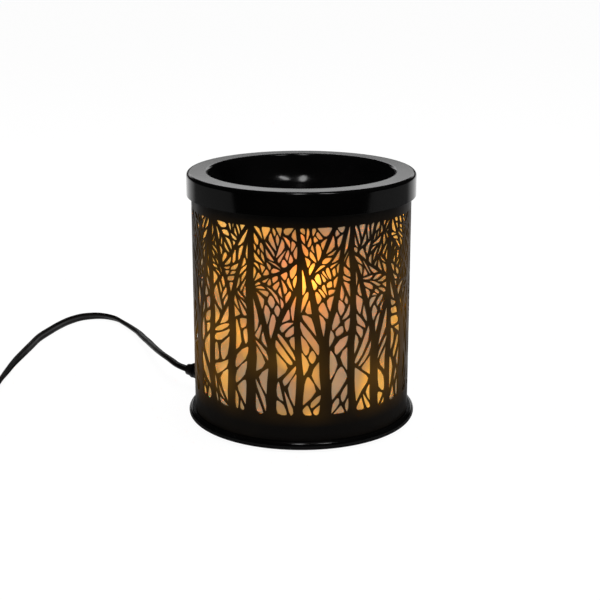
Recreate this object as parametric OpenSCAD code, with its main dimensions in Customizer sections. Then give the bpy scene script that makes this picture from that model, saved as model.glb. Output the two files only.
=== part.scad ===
// Plug-in wax warmer: a cut-out metal sleeve round a frosted glass cylinder and a bulb, with a
// lift-off dish on top and a flat two-core cord with a rocker switch and a plug. Millimetres, +Z up.
// The origin is the centre of the underside, on the surface that the rubber feet stand on.
// The photograph looks along +Y, so the front is at -Y and the cord leaves on the left, at -X.

/* [Overall] */
// Height from the feet to the top of the dish's rim
body_h = 133.5; // [128:0.5:150]
// Outer radius of the dish's rim
rim_r = 60; // [56:0.5:66]

/* [Dish] */
// Width of the flat rim, from its outer edge to the bowl's mouth
rim_w = 10.6; // [10:0.2:14]
// Height of the skirt that hangs outside the sleeve
skirt_h = 12; // [8:0.5:16]
// Wall of the cast dish
dish_wall = 1.8; // [1.4:0.1:2.4]
// Depth of the bowl below the rim
bowl_depth = 27; // [20:1:30]
// Radius of the bowl's flat floor
bowl_floor_r = 29; // [22:1:34]
// Gap between the skirt and the sleeve
skirt_gap = 0.6; // [0.4:0.1:1.2]

/* [Sleeve] */
// Wall of the rolled sheet sleeve
sleeve_wall = 0.8; // [0.5:0.1:1.2]
// Height of the plain band below the cut-out forest
lower_band = 13.5; // [12.5:0.5:20]
// Height of the plain band between the forest and the dish's skirt
upper_band = 6; // [3:0.5:14]
// Number of tall trees round the sleeve, with a forked tree between each pair
tree_count = 14; // [9:1:16]
// Average width of a trunk
trunk_w = 4.4; // [3:0.2:7]
// Width of the first branches off a trunk
branch_w = 1.7; // [1.2:0.1:2.6]
// Width of the thinnest twigs
twig_w = 0.9; // [0.7:0.05:1.2]
// Area of a typical opening in the open part of the forest
opening_area = 130; // [90:2:200]
// Layout of the forest
forest_seed = 6; // [1:1:60]

/* [Glass cylinder] */
// Gap between the glass cylinder and the sleeve
glass_gap = 2.4; // [1.8:0.1:3.4]
// Wall of the frosted glass cylinder
glass_wall = 1.5; // [1:0.1:2.5]
// Thickness of the silicone rings at the ends of the glass
gasket_t = 1.4; // [1:0.1:2.5]

/* [Base] */
// How far the rolled lip stands out from the sleeve
lip_out = 3.4; // [2.4:0.2:5]
// Height of the ledge on the lip that the sleeve stands on
ledge_z = 5; // [4:0.2:5.2]
// Thickness of the base pan's and the seat ring's sheet
sheet_t = 1; // [0.8:0.1:1.2]
// Depth of the wiring space, from the ledge to the top of the pan
pan_h = 11; // [10.6:0.2:12]
// Radius of the hole in the middle of the bottom cover
cover_hole_r = 4; // [3:0.5:6]
// Radius of a rubber foot
foot_r = 5; // [4:0.5:6]

/* [Lamp] */
// Greatest radius of the bulb
bulb_r = 15.6; // [12:0.2:18]
// Height of the space for the lead wires under the lamp holder's web
lead_room = 5.5; // [4.5:0.5:8]
// Air gap between the bulb and the dish
bulb_gap = 7; // [5:0.5:12]
// Radius of the bulb's screw cap
cap_r = 5.95; // [5.5:0.05:6.4]
// Radius of the lamp holder
holder_r = 10.5; // [9.5:0.5:13]

/* [Cord] */
// Width of the flat two-core cord
cord_w = 5.4; // [5:0.1:6]
// Thickness of the flat two-core cord
cord_t = 2.8; // [2.6:0.1:3]
// Length of the strain relief outside the sleeve
relief_l = 18; // [16:1:22]
// Radius of the coil at the middle of its turns
coil_r = 30; // [28:0.5:32]

/* [Switch and plug] */
// Length of the switch's body
switch_l = 46; // [44:1:50]
// Width of the switch's body
switch_w = 20; // [19:0.5:22]
// Height of the switch's body
switch_h = 14; // [13:0.5:16]
// Tilt of the rocker each way from level
rocker_tilt = 9; // [6:1:12]
// Width of the plug's body
plug_w = 25; // [24:0.5:27]
// Height of the plug's body as it lies
plug_h = 15; // [14:0.5:17]
// Length of a plug blade
blade_l = 17; // [16:0.5:18]

/* [Hidden] */
$fn = 64;

// Clearances
slip = 0.1;
run_fit = 0.05;
air = 0.35;

// Dish
rim_round = 2.6;
mouth_round = 2.2;
bowl_round = 20;
mouth_r = rim_r - rim_w;
skirt_z = body_h - skirt_h;
seat_z = body_h - dish_wall;

// Sleeve
sleeve_r = rim_r - dish_wall - skirt_gap;
sleeve_in = sleeve_r - sleeve_wall;
sleeve_top = seat_z - 0.5;
forest_z = ledge_z + lower_band;
forest_h = skirt_z - upper_band - forest_z;
seam_w = 7;
seam_t = 0.6;

// Seat ring, glass and gaskets
ring_leg = 13;
ring_bowl_gap = 1;
pan_top = ledge_z + pan_h;
glass_r = sleeve_in - glass_gap;
gasket_lip = 2.2;

// Base
cover_t = 0.8;
cover_z = ledge_z + 0.4;
lip_bottom = 0.8;
lip_round = (ledge_z - lip_bottom - sheet_t) / 2 - 0.05;
foot_at = 46;
post_at = 43;
post_r = 3.2;
screw_r = 1.5;
screw_head_t = 1.6;
cross_w = 0.7;
cover_screw_l = 7;
cover_head_r = 2.8;
holder_screw_l = 8;
holder_head_r = 2.4;
vent_w = 3;
vent_l = 12;

// Lamp: the holder stands on the pan, and the bulb fills the height from it up to the dish
bulb_top = seat_z - bowl_depth - bulb_gap;
web_t = 2;
web_z = pan_top + lead_room;
contact_h = 1.6;
tip_h = 1.6;
cap_h = 17;
cap_z = web_z + web_t + contact_h + tip_h;
cap_top = cap_z + cap_h;
bulb_h = bulb_top - cap_top;
holder_flange_r = holder_r + 7.5;
holder_flange_t = 3;
holder_screw_at = holder_r + 3.7;
lead_hole_r = 7;
lead_r = 1.1;
bulb_wall = 0.7;
filament_z = bulb_top - 0.4 * bulb_h;
stem_top = cap_top + 0.24 * bulb_h;

// Cord exit: a height, and an angle behind the left side
exit_angle = 149;
exit_z = 10.5;
neck_r = 3.6;
relief_r = 5.3;
rib = (relief_l - 4.5) / 5;
relief_in = sleeve_in - sheet_t - 2.4;
relief_end = sleeve_r + relief_l;

// The cord's route on the table: x, y, its height above the table and its turn from lying flat
run_route = [
  [-71.3, 45.1, 9.1, 0], [-75.7, 53, 9.4, 0], [-78.9, 61.4, 9, 0], [-81.5, 70, 8.1, 0], [-84, 78.6, 7, 0],
  [-86.5, 87.2, 5.8, 0], [-89.3, 95.7, 4.7, 0], [-92.4, 104.2, 3.8, 0], [-95.7, 112.6, 2.8, 10],
  [-99, 121, 1.7, 30], [-104, 134, 0.5, 55], [-110, 146, 0, 75],
  [-116, 155, 0, 85], [-124, 166, 0, 90], [-134, 173, 0, 90], [-145, 172, 0, 90],
  [-152, 164, 0, 85], [-158, 151, 0, 75], [-162, 138, 0, 65], [-166, 123, 0, 55],
  [-168, 108, 0, 45], [-170, 92, 0, 40], [-172, 76, 0, 30], [-173, 60, 0, 20],
  [-174, 45, 0, 10], [-175, 32, 0, 0], [-176, 20, 0.6, 0], [-176, 8, 2.2, 0]
];
link_route = [
  [-176, -80, 2, 0], [-178, -87, 0.8, 0], [-183, -93, 0.2, 0], [-191, -96, 0, 0],
  [-202, -96, 0, 0], [-214, -95, 0.2, 0]
];
tail_route = [
  [-226, -29, 8.4, 0], [-217, -27.5, 6.4, 0], [-209, -23, 4.2, 0], [-204, -15, 2, 0],
  [-202, -5, 0.3, 0], [-202, 4, 1.4, 0], [-202, 12, 4.2, 0]
];
coil_at = [-236, -62];
coil_columns = 2;
coil_layers = 4;
coil_in = coil_r - coil_columns * cord_w / 2;
coil_out = coil_r + coil_columns * cord_w / 2;
tie_t = 0.5;
tie_angle = 12;

// Switch: its middle on the table, lying along Y
switch_at = [-176, -38];
switch_nose = 8;
switch_end = switch_l / 2 + switch_nose;
split_z = 6.4;
shell_t = 1.6;
cord_z = 4.6;
cord_in = 7;
rocker_l = 17;
rocker_w = 8;
rocker_end_gap = 0.9;
pivot_r = 1.3;
pivot_z = switch_h - 3;
cheek_t = 1.6;
boss_at = [switch_l / 2 - 6, switch_w / 2 - 4.2];
boss_r = 2.2;
shell_screw_r = 1;

// Plug: the end of its strain relief, lying along Y
plug_at = [-202, 22];
plug_nose = 14;
plug_l = 26;
blade_gap = 12.7;
blade_t = 1.5;

function unit(angle) = [cos(angle), sin(angle)];
function added(list, i = 0) = i >= len(list) - 1 ? list[i] : list[i] + added(list, i + 1);

// Profiles: a line of corners with fillets, and a sheet of even thickness along such a line.
// Each corner is [r, z, fillet].
function fillet(a, b, c, round, steps = 6) =
  let (u = (a - b) / norm(a - b), v = (c - b) / norm(c - b), half = acos(u * v) / 2,
       mid = b + (u + v) / norm(u + v) * round / sin(half),
       from = b + u * round / tan(half) - mid,
       side = cross(u, v) > 0 ? -1 : 1, sweep = side * (180 - 2 * half))
    [for (k = [0:1:steps]) mid + [from.x * cos(k * sweep / steps) - from.y * sin(k * sweep / steps),
                                  from.x * sin(k * sweep / steps) + from.y * cos(k * sweep / steps)]];
function bent(corners) = [
  for (i = [0:1:len(corners) - 1])
    let (c = corners[i], p = [c.x, c.y])
      each i == 0 || i == len(corners) - 1 || c.z == 0 ? [p]
        : fillet([corners[i - 1].x, corners[i - 1].y], p, [corners[i + 1].x, corners[i + 1].y], c.z)
];
function normal_at(line, i) =
  let (a = line[max(i - 1, 0)], b = line[i], c = line[min(i + 1, len(line) - 1)],
       u = b == a ? c - b : b - a, v = c == b ? b - a : c - b,
       t = u / norm(u) + v / norm(v), n = [-t.y, t.x] / norm(t))
    n / (n * [-u.y, u.x] / norm(u));
function sheet(line, t) = concat(
  [for (i = [0:1:len(line) - 1]) line[i] + normal_at(line, i) * t / 2],
  [for (i = [len(line) - 1:-1:0]) line[i] - normal_at(line, i) * t / 2]);

module spun(corners, t) rotate_extrude($fn = 128) polygon(sheet(bent(corners), t));
module ring(r_in, r_out, z, h) translate([0, 0, z])
  difference() {
    cylinder(r = r_out, h = h);
    translate([0, 0, -1]) cylinder(r = r_in, h = h + 2);
  }
module around(count, r, first = 0)
  for (k = [0:1:count - 1])
    rotate([0, 0, first + k * 360 / count]) translate([r, 0, 0]) children();
// Turns +Z to point out of the sleeve along the cord's exit, from the sleeve's axis
module along_exit() translate([0, 0, exit_z]) rotate([0, 0, exit_angle]) rotate([0, 90, 0]) children();

// The dish: skirt, flat rim and bowl from one line, from the skirt's edge to the bowl's middle
module dish()
  color("#141416")
    let (mid = dish_wall / 2, top = body_h - mid, floor_z = body_h - bowl_depth - mid)
      spun([
        [rim_r - mid, skirt_z, 0],
        [rim_r - mid, top, rim_round - mid],
        [mouth_r + mid, top, mouth_round],
        [mouth_r - 3, body_h - 12, bowl_round],
        [bowl_floor_r, floor_z, bowl_round / 2],
        [0, floor_z, 0]
      ], dish_wall);

// The ring inside the sleeve's top that the dish sits on
module seat_ring()
  color("#2a2420")
    let (out = sleeve_in - slip, mid = sheet_t / 2)
      spun([
        [out - mid, seat_z - ring_leg, 0],
        [out - mid, seat_z - mid, 0.9],
        [mouth_r + dish_wall + ring_bowl_gap, seat_z - mid, 0]
      ], sheet_t);

// The forest: trees stand along the unrolled sheet. x runs round the sleeve from its back seam
// and y up from the forest's foot. A cell is the outline of one opening.
ring_len = 2 * PI * sleeve_r;
bay_w = ring_len / tree_count;
soft_area = 50;
// A tall trunk loses this share of its width on the way up; a forked one widens to its foot, and
// its arms thin out, by these angles.
trunk_taper = 0.45;
bole_lean = 0.7;
arm_taper = 1;

function rnd(lo, hi, key) =
  let (s = sin(key * 78.233 + forest_seed * 12.9898) * 437.5853) lo + (hi - lo) * (s - floor(s));
// The part of a cell on the side of p that n points to
function clip(cell, p, n) = [
  for (i = [0:1:len(cell) - 1])
    let (a = cell[i], b = cell[(i + 1) % len(cell)], da = (a - p) * n, db = (b - p) * n)
      each concat(da >= 0 ? [a] : [], da * db < 0 ? [a + (b - a) * da / (da - db)] : [])
];
function area(cell) = len(cell) < 3 ? 0 : abs(added([
  for (i = [0:1:len(cell) - 1]) cross(cell[i], cell[(i + 1) % len(cell)])
])) / 2;
function middle(cell) = added(cell) / len(cell);
function longest(cell) =
  let (lines = [for (i = [0:1:len(cell) - 2], j = [i + 1:1:len(cell) - 1]) cell[j] - cell[i]],
       reach = max([for (line = lines) norm(line)]))
    [for (line = lines) if (norm(line) == reach) line][0];
// The forest is open between the trunks, closer at its foot and closest in the crowns
function room(h) = opening_area * (h < 0.1 ? 0.4 : h < 0.42 ? 1.1 : h < 0.62 ? 0.5 : 0.27);
// Branches split a cell until each part is as small as its height asks. They rise at a lean
// against the cell's own, and run at an angle across a slender cell.
function grown(cell, depth, key) =
  let (size = area(cell))
    size < 4 ? []
      : let (c = middle(cell), line = longest(cell), reach = norm(line), h = c.y / forest_h)
          size < room(h) * rnd(0.6, 1.5, key + 3) ? [cell]
            : let (axis = (atan2(line.y, line.x) + 180) % 180,
                   angle = reach * reach > 3.4 * size
                     ? axis + rnd(32, 52, key + 1) * (rnd(0, 1, key + 2) < 0.5 ? 1 : -1)
                     : 90 + rnd(14, 40, key + 1) * (axis < 90 ? 1 : -1),
                   w = max(twig_w, branch_w * pow(0.74, depth)),
                   taper = min(3, atan((w - twig_w) / reach)),
                   p = c + line * rnd(-0.1, 0.1, key + 4), out = unit(angle + 90) * w / 2)
                concat(
                  grown(clip(cell, p + out, unit(angle + 90 + taper)), depth + 1, key * 2 + 11),
                  grown(clip(cell, p - out, unit(angle - 90 - taper)), depth + 1, key * 2 + 12));
// One bay: from one tall trunk to the next, with a forked tree between them
function trunk_x(i) = i * bay_w + (i % tree_count == 0 ? 0 : rnd(-1.8, 1.8, i * 31));
function trunk_half(i) = trunk_w / 2 * (i % tree_count == 0 ? 1.5 : rnd(0.7, 1.3, i * 31 + 1));
function bay(i) =
  let (key = i * 31, half_l = trunk_half(i), half_r = trunk_half((i + 1) % tree_count),
       left = trunk_x(i) + half_l, right = trunk_x(i + 1) - half_r,
       x = (left + right) / 2 + rnd(-2, 2, key + 2), half = trunk_w / 2 * rnd(0.6, 1.2, key + 3),
       fork = forest_h * rnd(0.36, 0.74, key + 4), foot = 3 * rnd(0.4, 1, key + 7),
       lean_l = rnd(10, 24, key + 5), lean_r = rnd(10, 24, key + 6),
       whole = [[left, 0], [right, 0],
                [right + trunk_taper * half_r, forest_h], [left - trunk_taper * half_l, forest_h]],
       bank = clip(clip(whole, [left, foot], unit(30)), [right, foot], unit(150)),
       arm_l = [x - half, fork - half], arm_r = [x + half, fork - half], crotch = [x, fork + 0.2 * half])
    [clip(clip(bank, arm_l, unit(180 - bole_lean)), arm_l, unit(180 + lean_l - arm_taper)),
     clip(clip(bank, arm_r, unit(bole_lean)), arm_r, unit(arm_taper - lean_r)),
     clip(clip(bank, crotch, unit(lean_l)), crotch, unit(180 - lean_r))];
function near_gone(cell) = [
  for (i = [0:1:len(cell) - 1]) if (norm(cell[(i + 1) % len(cell)] - cell[i]) > 0.8) cell[i]
];
// Wood grows in curves: every point of the forest sways a little, and trunks less than branches
function swayed(p) =
  let (turn = 360 * p.x / ring_len, h = 360 * p.y / forest_h)
    [p.x + trunk_w * (0.14 * sin(1.6 * h + 4 * turn) + 0.05 * sin(4.2 * h + 9 * turn)),
     p.y + (1.8 * sin(tree_count * turn + 1.4 * h) + 0.4 * sin(2 * tree_count * turn - 2.6 * h))
       * sin(h / 2)];
// The corners of a large opening are cut off short, and a long side gets a point in its middle
function softened(cell) = [
  for (i = [0:1:len(cell) - 1])
    let (a = cell[i], b = cell[(i + 1) % len(cell)], l = norm(b - a), r = min(1, 0.28 * l),
         blunt = area(cell) > soft_area)
      each concat([blunt ? a + (b - a) * r / l : a], l > 9 ? [(a + b) / 2] : [],
                  blunt ? [b - (b - a) * r / l] : [])
];
forest = [
  for (i = [0:1:tree_count - 1], part = bay(i), cell = area(part) > 4 ? grown(part, 0, i * 97) : [])
    let (kept = near_gone(cell)) if (len(kept) > 2) [for (p = softened(kept)) swayed(p)]
];
module opening(cell) {
  c = middle(cell);
  rotate([0, 0, 90 + c.x * 360 / ring_len])
    rotate([90, 0, 90])
      translate([0, 0, sleeve_in - 0.6])
        linear_extrude(sleeve_wall + 1.2)
          polygon([for (p = cell) [sleeve_r * sin((p.x - c.x) * 360 / ring_len), forest_z + p.y]]);
}
// One bay of the sheet, from trunk to trunk at whole tenths of a degree, so that neighbours meet
function bay_edge(i) = round(10 * (90 + trunk_x(i) * 360 / ring_len)) / 10;
module sleeve_bay(i) {
  difference() {
    rotate_extrude(start = bay_edge(i), angle = bay_edge(i + 1) - bay_edge(i), $fn = 128)
      translate([sleeve_in, ledge_z]) square([sleeve_wall, sleeve_top - ledge_z]);
    for (cell = forest)
      if (middle(cell).x > trunk_x(i) && middle(cell).x < trunk_x(i + 1)) opening(cell);
    along_exit() cylinder(r = neck_r + slip, h = rim_r);
  }
}
module sleeve()
  color("#2f2822") {
    for (i = [0:1:tree_count - 1]) sleeve_bay(i);
    // The lap of the welded seam, inside the back trunk
    rotate([0, 0, 90])
      translate([sleeve_in - seam_t, -seam_w / 2, pan_top + 0.5])
        cube([seam_t + 0.2, seam_w, seat_z - ring_leg - pan_top - 1]);
  }

// The frosted glass cylinder that spreads the light, between two silicone rings
module diffuser()
  color("#d8c8a8", 0.6)
    ring(glass_r - glass_wall, glass_r, pan_top + gasket_t, seat_z - sheet_t - pan_top - 2 * gasket_t);
module lower_gasket()
  color("#e8e4dc") ring(glass_r - gasket_lip, glass_r + 0.4, pan_top, gasket_t);
module upper_gasket()
  color("#e8e4dc") ring(glass_r - gasket_lip, glass_r + 0.4, seat_z - sheet_t - gasket_t, gasket_t);

// The base pan: floor, upright wall inside the sleeve, ledge and rolled lip
module base_pan()
  color("#101012")
    let (mid = sheet_t / 2, wall_r = sleeve_in - slip - mid, edge_r = sleeve_r + lip_out - mid)
      difference() {
        spun([
          [lead_hole_r, pan_top - mid, 0],
          [wall_r, pan_top - mid, 1.2],
          [wall_r, ledge_z - mid, 0.6],
          [edge_r, ledge_z - mid, lip_round],
          [edge_r, lip_bottom + mid, lip_round],
          [wall_r + 1.5, lip_bottom + mid, 0]
        ], sheet_t);
        along_exit() cylinder(r = neck_r + slip, h = rim_r);
        around(2, holder_screw_at, 90)
          translate([0, 0, ledge_z]) cylinder(r = screw_r + slip, h = pan_h + 1, $fn = 32);
        around(8, 33, 22.5) translate([0, 0, ledge_z]) vent(pan_h + 1);
      }
module vent(h)
  linear_extrude(h) union() {
    square([vent_l - vent_w, vent_w], center = true);
    for (side = [-1, 1]) translate([side * (vent_l - vent_w) / 2, 0]) circle(d = vent_w, $fn = 32);
  }
module bottom_cover()
  color("#17171a")
    difference() {
      translate([0, 0, cover_z]) cylinder(r = sleeve_in - sheet_t - 0.6, h = cover_t);
      translate([0, 0, cover_z - 1]) {
        cylinder(r = cover_hole_r, h = cover_t + 2);
        around(3, post_at, 90) cylinder(r = screw_r + slip, h = cover_t + 2, $fn = 32);
        around(4, foot_at, 45) cylinder(r = foot_r / 2, h = cover_t + 2, $fn = 32);
        around(8, 24, 22.5) vent(cover_t + 2);
      }
    }
module cover_posts()
  color("#a8a8a4")
    around(3, post_at, 90)
      ring(screw_r + run_fit, post_r, cover_z + cover_t, pan_top - sheet_t - cover_z - cover_t, $fn = 32);
module screw(length, head_r)
  union() {
    cylinder(r = screw_r, h = length, $fn = 32);
    difference() {
      translate([0, 0, -screw_head_t]) cylinder(r = head_r, h = screw_head_t, $fn = 32);
      for (turn = [0, 90])
        rotate([0, 0, turn])
          translate([-0.55 * head_r, -cross_w / 2, -screw_head_t - 1])
            cube([1.1 * head_r, cross_w, screw_head_t / 2 + 1]);
    }
  }
module cover_screws()
  color("#b8b8b4")
    around(3, post_at, 90)
      translate([0, 0, cover_z]) screw(cover_screw_l, cover_head_r);
module rubber_feet()
  color("#202022")
    around(4, foot_at, 45) {
      cylinder(r1 = foot_r - 0.6, r2 = foot_r, h = cover_z, $fn = 48);
      translate([0, 0, cover_z]) cylinder(r = foot_r / 2 - run_fit, h = cover_t, $fn = 32);
      translate([0, 0, cover_z + cover_t])
        cylinder(r1 = foot_r / 2 + 0.7, r2 = foot_r / 2 - 0.6, h = 2, $fn = 32);
    }

// The lamp holder stands on the pan over the lead hole
module lamp_holder()
  color("#e6e0d2")
    difference() {
      rotate_extrude($fn = 96)
        polygon([
          [0, pan_top], [holder_flange_r, pan_top], [holder_flange_r, pan_top + holder_flange_t],
          [holder_r + 0.8, pan_top + holder_flange_t], [holder_r, pan_top + holder_flange_t + 2],
          [holder_r, cap_top - 3], [holder_r - 1.2, cap_top - 1], [0, cap_top - 1]
        ]);
      translate([0, 0, web_z + web_t]) cylinder(r = cap_r + 1.45, h = body_h);
      translate([0, 0, pan_top - 1]) cylinder(r = lead_hole_r, h = web_z - pan_top + 1);
      around(2, holder_screw_at, 90)
        translate([0, 0, pan_top - 1]) cylinder(r = screw_r + slip, h = holder_flange_t + 2, $fn = 32);
    }
module holder_screws()
  color("#b8b8b4")
    around(2, holder_screw_at, 90)
      translate([0, 0, pan_top + holder_flange_t]) rotate([180, 0, 0]) screw(holder_screw_l, holder_head_r);
module holder_nuts()
  color("#b8b8b4")
    around(2, holder_screw_at, 90)
      difference() {
        translate([0, 0, pan_top - sheet_t - 2.4]) cylinder(r = 3.1, h = 2.4, $fn = 6);
        translate([0, 0, pan_top - sheet_t - 3]) cylinder(r = screw_r + run_fit, h = 4, $fn = 32);
      }
module socket_shell()
  color("#c8a050") ring(cap_r + 0.3, cap_r + 0.9, web_z + web_t, cap_top - web_z - web_t - 3);
module socket_contact()
  color("#c8a050")
    translate([0, 0, web_z + web_t]) {
      cylinder(r = 3.2, h = 0.5, $fn = 32);
      cylinder(r1 = 2.2, r2 = 1.2, h = contact_h, $fn = 32);
    }

// The bulb: screw cap, centre contact, glass, stem and filament
module bulb_cap()
  color("#c9a85a")
    spun([[3.4, cap_z + 0.2, 0], [cap_r - 0.2, cap_z + 0.2, 1], [cap_r - 0.2, cap_top, 0]], 0.4);
module bulb_contact()
  color("#30302e")
    translate([0, 0, cap_z - tip_h]) {
      cylinder(r1 = 2.2, r2 = 3.15, h = tip_h, $fn = 32);
      translate([0, 0, tip_h]) cylinder(r = 3.15, h = 0.6, $fn = 32);
    }
module bulb_glass()
  color("#fff2d0", 0.4)
    let (mid = bulb_wall / 2, neck = cap_r - 0.5 - mid)
      spun([
        [neck, cap_top - 3, 0],
        [neck, cap_top + 6, 9],
        [bulb_r - mid, cap_top + 0.4 * bulb_h, 14],
        [bulb_r - mid, bulb_top - mid, bulb_r - mid - 0.4],
        [0, bulb_top - mid, 0]
      ], bulb_wall);
module bulb_stem()
  color("#e8e8e0", 0.6)
    translate([0, 0, cap_top - 3]) {
      cylinder(r1 = cap_r - bulb_wall - 0.65, r2 = 2.6, h = 4, $fn = 32);
      cylinder(r = 1.6, h = stem_top - cap_top + 3, $fn = 32);
    }
module filament()
  color("#ffb050")
    let (rise = filament_z - stem_top, spread = rise * tan(14)) {
      for (side = [-1, 1])
        translate([side * 1.1, 0, stem_top]) rotate([0, side * 14, 0])
          cylinder(r = 0.25, h = rise / cos(14), $fn = 16);
      translate([-spread - 1.4, 0, filament_z])
        rotate([0, 90, 0]) cylinder(r = 0.7, h = 2 * spread + 2.8, $fn = 24);
    }

// Cords: rings of an even section at the points of a route. A point is x, y, z and a turn.
function flat_section(w, t) = [
  for (side = [0, 1], k = [-2:1:2])
    let (a = k * 45 + side * 180) [(side == 0 ? 1 : -1) * (w - t) / 2 + cos(a) * t / 2, sin(a) * t / 2]
];
function round_section(r) = [for (k = [0:1:7]) r * unit(k * 45)];
function swept(route, section) = [
  for (i = [0:1:len(route) - 1])
    let (a = route[max(i - 1, 0)], b = route[min(i + 1, len(route) - 1)],
         t = [b.x - a.x, b.y - a.y, b.z - a.z] / norm([b.x - a.x, b.y - a.y, b.z - a.z]),
         side = cross([0, 0, 1], t), out = norm(side) < 0.01 ? [1, 0, 0] : side / norm(side),
         up = cross(t, out), turn = route[i][3], o = [route[i].x, route[i].y, route[i].z])
      for (s = section)
        o + out * (s.x * cos(turn) - s.y * sin(turn)) + up * (s.x * sin(turn) + s.y * cos(turn))
];
module tube(route, section) {
  n = len(section);
  rings = len(route);
  polyhedron(
    points = swept(route, section),
    faces = concat(
      [[for (k = [n - 1:-1:0]) k]],
      [for (i = [0:1:rings - 2], k = [0:1:n - 1])
        each let (a = i * n + k, b = i * n + (k + 1) % n) [[a, b, b + n], [a, b + n, a + n]]],
      [[for (k = [0:1:n - 1]) (rings - 1) * n + k]]));
}
// A cord lies on the table: its middle is as high as its section reaches down
function rest_z(turn) = (cord_w - cord_t) / 2 * abs(sin(turn)) + cord_t / 2;
function laid(route) = [for (p = route) [p.x, p.y, p[2] + rest_z(p[3]), p[3]]];

module strain_relief()
  color("#0c0c0d")
    along_exit()
      rotate_extrude($fn = 64)
        polygon([
          [0, relief_in], [neck_r + 0.5, relief_in], [neck_r + 0.5, relief_in + 2], [neck_r, relief_in + 2],
          [neck_r, sleeve_r + 0.2], [relief_r, sleeve_r + 0.2], [relief_r, sleeve_r + 2],
          for (k = [0:1:4])
            let (r = relief_r - 0.2 - k * 0.22, at = sleeve_r + 2 + k * rib)
              each [[r, at], [r, at + 0.6 * rib], [r - 0.6, at + 0.6 * rib], [r - 0.6, at + rib]],
          [cord_w / 2 + 0.7, sleeve_r + 2 + 5 * rib], [cord_w / 2 + 0.4, relief_end], [0, relief_end]
        ]);
// Two wires from the strain relief to the holder: parts of the way in, of the lead hole and of the rise
module lead_wires()
  color("#1a1a1c")
    for (side = [-1, 1])
      tube([
        for (p = [[1, 0.19, 0], [0.75, 0.22, 0], [0.5, 0.26, 0.05], [0.26, 0.32, 0.14], [0.11, 0.37, 0.32],
                  [0.062, 0.4, 0.6], [0.056, 0.4, 0.82], [0.056, 0.4, 1]])
          concat(p.x * relief_in * unit(exit_angle) + side * p.y * lead_hole_r * unit(exit_angle + 90),
                 [exit_z + p.z * (web_z - exit_z), 0])
      ], round_section(lead_r));
module cord_run()
  color("#0b0b0c")
    tube(concat([for (r = [relief_end, relief_end + 2]) concat(r * unit(exit_angle), [exit_z, 0])],
                laid(run_route),
                [for (y = [0, -cord_in]) [switch_at.x, switch_at.y + switch_end + y, cord_z, 0]]),
         flat_section(cord_w, cord_t));
module cord_link()
  color("#0b0b0c")
    tube(concat([for (y = [cord_in, 0]) [switch_at.x, switch_at.y - switch_end + y, cord_z, 0]],
                laid(link_route),
                [[coil_at.x + 11, coil_at.y - coil_out + cord_w / 2, tie_t + cord_t / 2, 0],
                 [coil_at.x, coil_at.y - coil_out + cord_w / 2, tie_t + cord_t / 2, 0]]),
         flat_section(cord_w, cord_t));
module cord_tail()
  color("#0b0b0c")
    tube(concat([[coil_at.x, coil_at.y + coil_out - cord_w / 2, tie_t + cord_t * (coil_layers - 0.5), 0]],
                laid(tail_route),
                [for (y = [-2, 0]) [plug_at.x, plug_at.y + y, plug_h / 2, 0]]),
         flat_section(cord_w, cord_t));
// The spare cord: flat turns side by side and in layers, with a groove between neighbours
module cord_coil()
  color("#0b0b0c")
    translate([coil_at.x, coil_at.y, tie_t])
      let (g = 0.8, top = coil_layers * cord_t,
           side = [for (k = [0:1:coil_layers - 1]) each [[0, k * cord_t + g], [0, (k + 1) * cord_t - g],
                                                        [g, (k + 1) * cord_t]]])
        rotate_extrude($fn = 96)
          polygon(concat(
            [[coil_r, g], [coil_in + g, 0]],
            [for (p = side) [coil_in + p.x, p.y]],
            [[coil_r - g, top], [coil_r, top - g], [coil_r + g, top]],
            [for (k = [len(side) - 1:-1:0]) [coil_out - side[k].x, side[k].y]],
            [[coil_out - g, 0]]));
module coil_tie()
  color("#0f0f10")
    translate([coil_at.x, coil_at.y, 0])
      difference() {
        band(tie_t + run_fit, 0, coil_layers * cord_t + 2 * tie_t + run_fit, tie_angle);
        band(run_fit, tie_t, coil_layers * cord_t + run_fit, tie_angle + 4);
      }
module band(out, z, h, angle)
  rotate([0, 0, 180 - angle / 2])
    rotate_extrude(angle = angle, $fn = 96)
      translate([coil_in - out, z]) square([coil_out - coil_in + 2 * out, h]);

// The inline switch lies along Y: two shells, a rocker on a pin, two terminals and two screws
module switch_place() translate([switch_at.x, switch_at.y, 0]) rotate([0, 0, 90]) children();
function switch_corner(side, inset) =
  let (half = switch_l / 2, wide = switch_w / 2)
    [for (p = [[switch_end, 4.2], [half, wide - 2.6], [half - 6, wide], [-half + 6, wide],
               [-half, wide - 2.6], [-switch_end, 4.2]])
      [p.x - sign(p.x) * inset, side * (p.y - inset)]];
module switch_plan(inset = 0)
  let (top = switch_corner(1, inset), low = switch_corner(-1, inset))
    polygon(concat(top, [for (k = [5:-1:0]) low[k]]));
// The room inside stops short of the noses, which hold the cord
module switch_room(z, h)
  translate([0, 0, z])
    linear_extrude(h) square([switch_l - 8, switch_w - 2 * shell_t], center = true);
module cord_way()
  for (side = [-1, 1])
    translate([side * (switch_end - cord_in / 2), 0, cord_z])
      cube([cord_in + 4, cord_w + 2 * slip, cord_t + 2 * slip], center = true);
module at_bosses() for (side = [-1, 1]) translate([side * boss_at.x, side * boss_at.y, 0]) children();
module switch_lower_shell()
  color("#0e0e10")
    switch_place()
      difference() {
        union() {
          difference() {
            linear_extrude(split_z) switch_plan();
            switch_room(shell_t, split_z);
          }
          at_bosses() cylinder(r = boss_r, h = split_z, $fn = 32);
        }
        cord_way();
        at_bosses() translate([0, 0, -1]) {
          cylinder(r = shell_screw_r + slip, h = split_z + 2, $fn = 24);
          cylinder(r = shell_screw_r + 1, h = 2.6, $fn = 24);
        }
      }
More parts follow.
